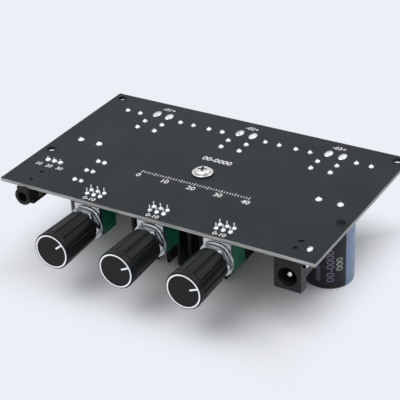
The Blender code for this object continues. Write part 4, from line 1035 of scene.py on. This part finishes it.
small_model = can("small_can_model", radius=3.15, length=11.2, rim=0.5, bead_drop=1.9,
                  seal_radius=2.4, seal_depth=0.25, half_stripe=34.0)
small_print = joined([wrapped(small_model, "-", 3.0, 0.0, 3.4, dark_ink),
                      wrapped(small_model, "-", 3.0, 0.0, 6.6, dark_ink)], "small_print")
small_model = joined([small_model, small_print], "small_can_model")
for number in (1, 2, 3):
    name = f"small_capacitor_{number}"
    piece = settle(copy_of(small_model, f"{name}_can"), foot_of(name), (0.0, 0.0, 180.0))
    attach(piece, "board")
    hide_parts(name)
bpy.data.objects.remove(small_model)
print("two tall and three small capacitors")

# %% [markdown]
# Each speaker output passes a choke: a drum of ferrite with enamelled copper wire on its waist. Drum
# and turns are one turned profile, with a bump for every turn of wire, which at this size looks the
# same as a wound coil.

# %% Chokes
FLANGE = 1.2
WIRE_PITCH = 0.62
WAIST_DEPTH = 0.8
CHOKE_GAP = 0.3


def choke(radius, height):
    """Finish 0 is ferrite, 1 the wire."""
    waist = radius - WAIST_DEPTH
    profile = [(0.0, 0.0), (radius - 0.3, 0.0), (radius, 0.3), (radius, FLANGE - 0.2), (radius - 0.2, FLANGE)]
    turns = int((height - 2 * FLANGE) / WIRE_PITCH)
    pitch = (height - 2 * FLANGE) / turns
    for turn in range(turns):
        start = FLANGE + turn * pitch
        profile += [(waist, start + 0.01), (waist + 0.22, start + 0.25 * pitch),
                    (waist + 0.3, start + 0.5 * pitch), (waist + 0.22, start + 0.75 * pitch)]
    profile += [(waist, height - FLANGE - 0.01), (radius - 0.2, height - FLANGE),
                (radius, height - FLANGE + 0.2), (radius, height - 0.3), (radius - 0.3, height), (0.0, height)]
    piece = lathe("choke_model", profile, 36)
    dress(piece, ferrite, copper)
    paint(piece, 1, lambda face: face.center.xy.length < (radius - 0.35) * MM
          and FLANGE * MM < face.center.z < (height - FLANGE) * MM)
    smooth(piece, 50.0)
    return piece


low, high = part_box("choke_left_a")
choke_top = component_face - CHOKE_GAP * MM
choke_model = choke((high.x - low.x) / 2 / MM, (choke_top - low.z) / MM)
for name in nodes_like("choke"):
    piece = settle(copy_of(choke_model, f"{name}_wound"), foot_of(name))
    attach(piece, "board")
    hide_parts(name)
bpy.data.objects.remove(choke_model)
print("chokes", len(nodes_like("choke")))

# %% [markdown]
# The moulded and folded parts already have their right shapes in the imported model. What they lack is
# the soft edge that every real part has. Each is copied, its flat facets are merged again, and its
# edges are rounded. Their leads are lowered to half their height, into the solder domes. The leads of
# the chips, the pin header and the seals get a metal finish by their place.

# %% Softened copies
gold = finish("gold_pin", (0.72, 0.52, 0.20), 0.26, metallic=1.0)
cloudy_gloss(gold, 0.20, 0.34, 1200.0)
LEAD_TRIM = 0.5
FACET_WELD = 0.000002
POT_CORNER = 3.0
POT_TRIM = 1.1
POT_TRIM_ZONE = 2.2
CHIP_HALF = 3.8
OP_AMP_HALF = 2.0
STRIP_DROP = 2.85
pot_low = min(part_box(name)[0].z for name in nodes_like("pot_plate"))


def softened(name, width, slot, *materials, shape=None):
    """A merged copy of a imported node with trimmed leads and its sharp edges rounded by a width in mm."""
    source = frame["nodes"][name]
    piece = bpy.data.objects.new(f"{name}_softened", source.data.copy())
    scene.collection.objects.link(piece)
    piece.matrix_world = source.matrix_world.copy()
    edit(piece)
    bpy.ops.mesh.select_all(action="SELECT")
    bpy.ops.mesh.remove_doubles(threshold=FACET_WELD)
    bpy.ops.mesh.dissolve_limited(angle_limit=math.radians(1.0))
    bpy.ops.mesh.normals_make_consistent(inside=False)
    bpy.ops.object.mode_set(mode="OBJECT")
    bpy.ops.object.transform_apply(location=True, rotation=True, scale=True)
    edit(piece)
    pick("VERT", lambda vertex: vertex.co.z > solder_face + 0.05 * MM)
    bpy.ops.transform.resize(value=(1.0, 1.0, LEAD_TRIM), center_override=(0.0, 0.0, solder_face))
    bpy.ops.object.mode_set(mode="OBJECT")
    if shape:
        shape(piece)
    round_edges(piece, width, 40.0)
    dress(piece, *materials)
    smooth(piece, 18.0)
    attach(piece, "board")
    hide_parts(name)
    return piece


def rounded_below(piece):
    """Raises the underside of a control and rounds its lower corners, as in the photograph."""
    edit(piece)
    pick("VERT", lambda vertex: vertex.co.z < pot_low + POT_TRIM_ZONE * MM)
    bpy.ops.transform.translate(value=(0.0, 0.0, POT_TRIM * MM))
    xs = [vertex.co.x for vertex in bmesh.from_edit_mesh(piece.data).verts]
    sides = (min(xs), max(xs))
    pick("EDGE", lambda edge: all(vertex.co.z < pot_low + (POT_TRIM + 1.0) * MM for vertex in edge.verts)
         and abs(edge.verts[0].co.y - edge.verts[1].co.y) > 0.5 * MM
         and all(min(abs(vertex.co.x - side) for side in sides) < 0.05 * MM for vertex in edge.verts))
    bpy.ops.mesh.bevel(offset=POT_CORNER * MM, segments=6, affect="EDGES")
    bpy.ops.object.mode_set(mode="OBJECT")


softened("heatsink", 0.14, "anodised", anodised)
softened("power_jack_housing", 0.22, "black_plastic", black_plastic)
softened("signal_jack_body", 0.12, "black_plastic", black_plastic)
for name in ("terminal_block_left", "terminal_block_sub", "terminal_block_right"):
    softened(name, 0.18, "terminal_plastic", green_plastic)
for name in nodes_like("film_capacitor"):
    softened(name, 0.35, "film_coating", film_coat)
for name in nodes_like("pot_plate"):
    softened(name, 0.10, "plated_steel", plated, shape=rounded_below)
for name in nodes_like("clamp"):
    softened(name, 0.06, "plated_steel", plated)
for name in nodes_like("seal"):
    piece = softened(name, 0.05, "rubber_seal", rubber, plated)
    paint(piece, 1, lambda face: face.center.z > component_face)
for name in nodes_like("pot_body"):
    softened(name, 0.08, "green_laminate", wafer_green, shape=rounded_below)
for name, half, axis in (("amplifier_chip_left", CHIP_HALF, 0), ("amplifier_chip_right", CHIP_HALF, 0),
                         ("op_amp_front", OP_AMP_HALF, 1), ("op_amp_rear", OP_AMP_HALF, 1)):
    low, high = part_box(name)
    middle = (low[axis] + high[axis]) / 2
    piece = softened(name, 0.06, "epoxy", epoxy, solder)
    paint(piece, 1, lambda face: abs(face.center[axis] - middle) > half * MM)
header = softened("pin_header", 0.06, "black_plastic", black_plastic, gold)
strip_low = component_face - STRIP_DROP * MM
paint(header, 1, lambda face: face.center.z < strip_low or face.center.z > component_face)

# %% [markdown]
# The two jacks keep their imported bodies. Their round parts are what the eye follows, so the nose of the
# signal jack and the pin of the power jack are turned anew with finer corners, and the power jack's
# side terminal, a bent tinned tab, is added beside it.

# %% Round parts of the jacks
NOSE_RADIUS = 3.04
NOSE_BORE = 1.74
NOSE_LENGTH = 1.92
NOSE_CORNER = 0.3
NOSE_INSET = 1.9
NOSE_DROP = 2.7
PIN_RADIUS = 1.05
PIN_FLANGE = 1.8
FLANGE_LENGTH = 2.0
PIN_TIP = ((0.0, 0.75), (0.1, 0.40), (0.32, 0.12), (0.6, 0.0))
TAB_SPANS = ((-0.1, 1.9, -2.4), (0.5, 3.4, -0.2))
TAB_BEND = 0.5
low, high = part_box("signal_jack_body")
nose_x = (low.x + high.x) / 2
nose_z = component_face - NOSE_DROP * MM
nose = lathe("signal_jack_nose", [
    (NOSE_BORE, 0.0), (NOSE_RADIUS, 0.0), (NOSE_RADIUS, NOSE_LENGTH - NOSE_CORNER),
    (NOSE_RADIUS - 0.09, NOSE_LENGTH - 0.09), (NOSE_RADIUS - NOSE_CORNER, NOSE_LENGTH),
    (NOSE_BORE + NOSE_CORNER, NOSE_LENGTH), (NOSE_BORE, NOSE_LENGTH - NOSE_CORNER), (NOSE_BORE, 0.0)], 64)
dress(nose, black_plastic)
smooth(nose)
settle(nose, (nose_x, low.y + NOSE_INSET * MM, nose_z), (90.0, 0.0, 0.0))
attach(nose, "board")

low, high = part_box("power_jack_pin")
middle = (low + high) / 2
long = (high.y - low.y) / MM
flange = [(0.0, 0.0), (PIN_FLANGE, 0.0), (PIN_FLANGE, FLANGE_LENGTH), (PIN_RADIUS, FLANGE_LENGTH)]
tip = [(PIN_RADIUS - inward, long - below) for inward, below in PIN_TIP]
pin = lathe("power_jack_round_pin", flange + tip + [(0.0, long)], 40)
dress(pin, plated)
smooth(pin, 30.0)
settle(pin, (middle.x, high.y, middle.z), (90.0, 0.0, 0.0))
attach(pin, "board")
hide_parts("power_jack_pin")

low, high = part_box("power_jack_housing")
tab = box_piece("power_jack_side_terminal", *(
    (high.x / MM + x, low.y / MM + y, component_face / MM + z) for x, y, z in TAB_SPANS))
edit(tab)
pick("FACE", lambda face: face.normal.z < -0.9)
bpy.ops.mesh.extrude_region_move(TRANSFORM_OT_translate={"value": (-TAB_BEND * MM, 0.0, -TAB_BEND * MM)})
bpy.ops.object.mode_set(mode="OBJECT")
round_edges(tab, 0.08, 20.0)
dress(tab, solder)
smooth(tab, 18.0)
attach(tab, "board")
print("jacks have their round parts")

# %% Sizes and end
low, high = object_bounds()
print("visual box in mm", [round(1000 * side, 2) for side in high - low])
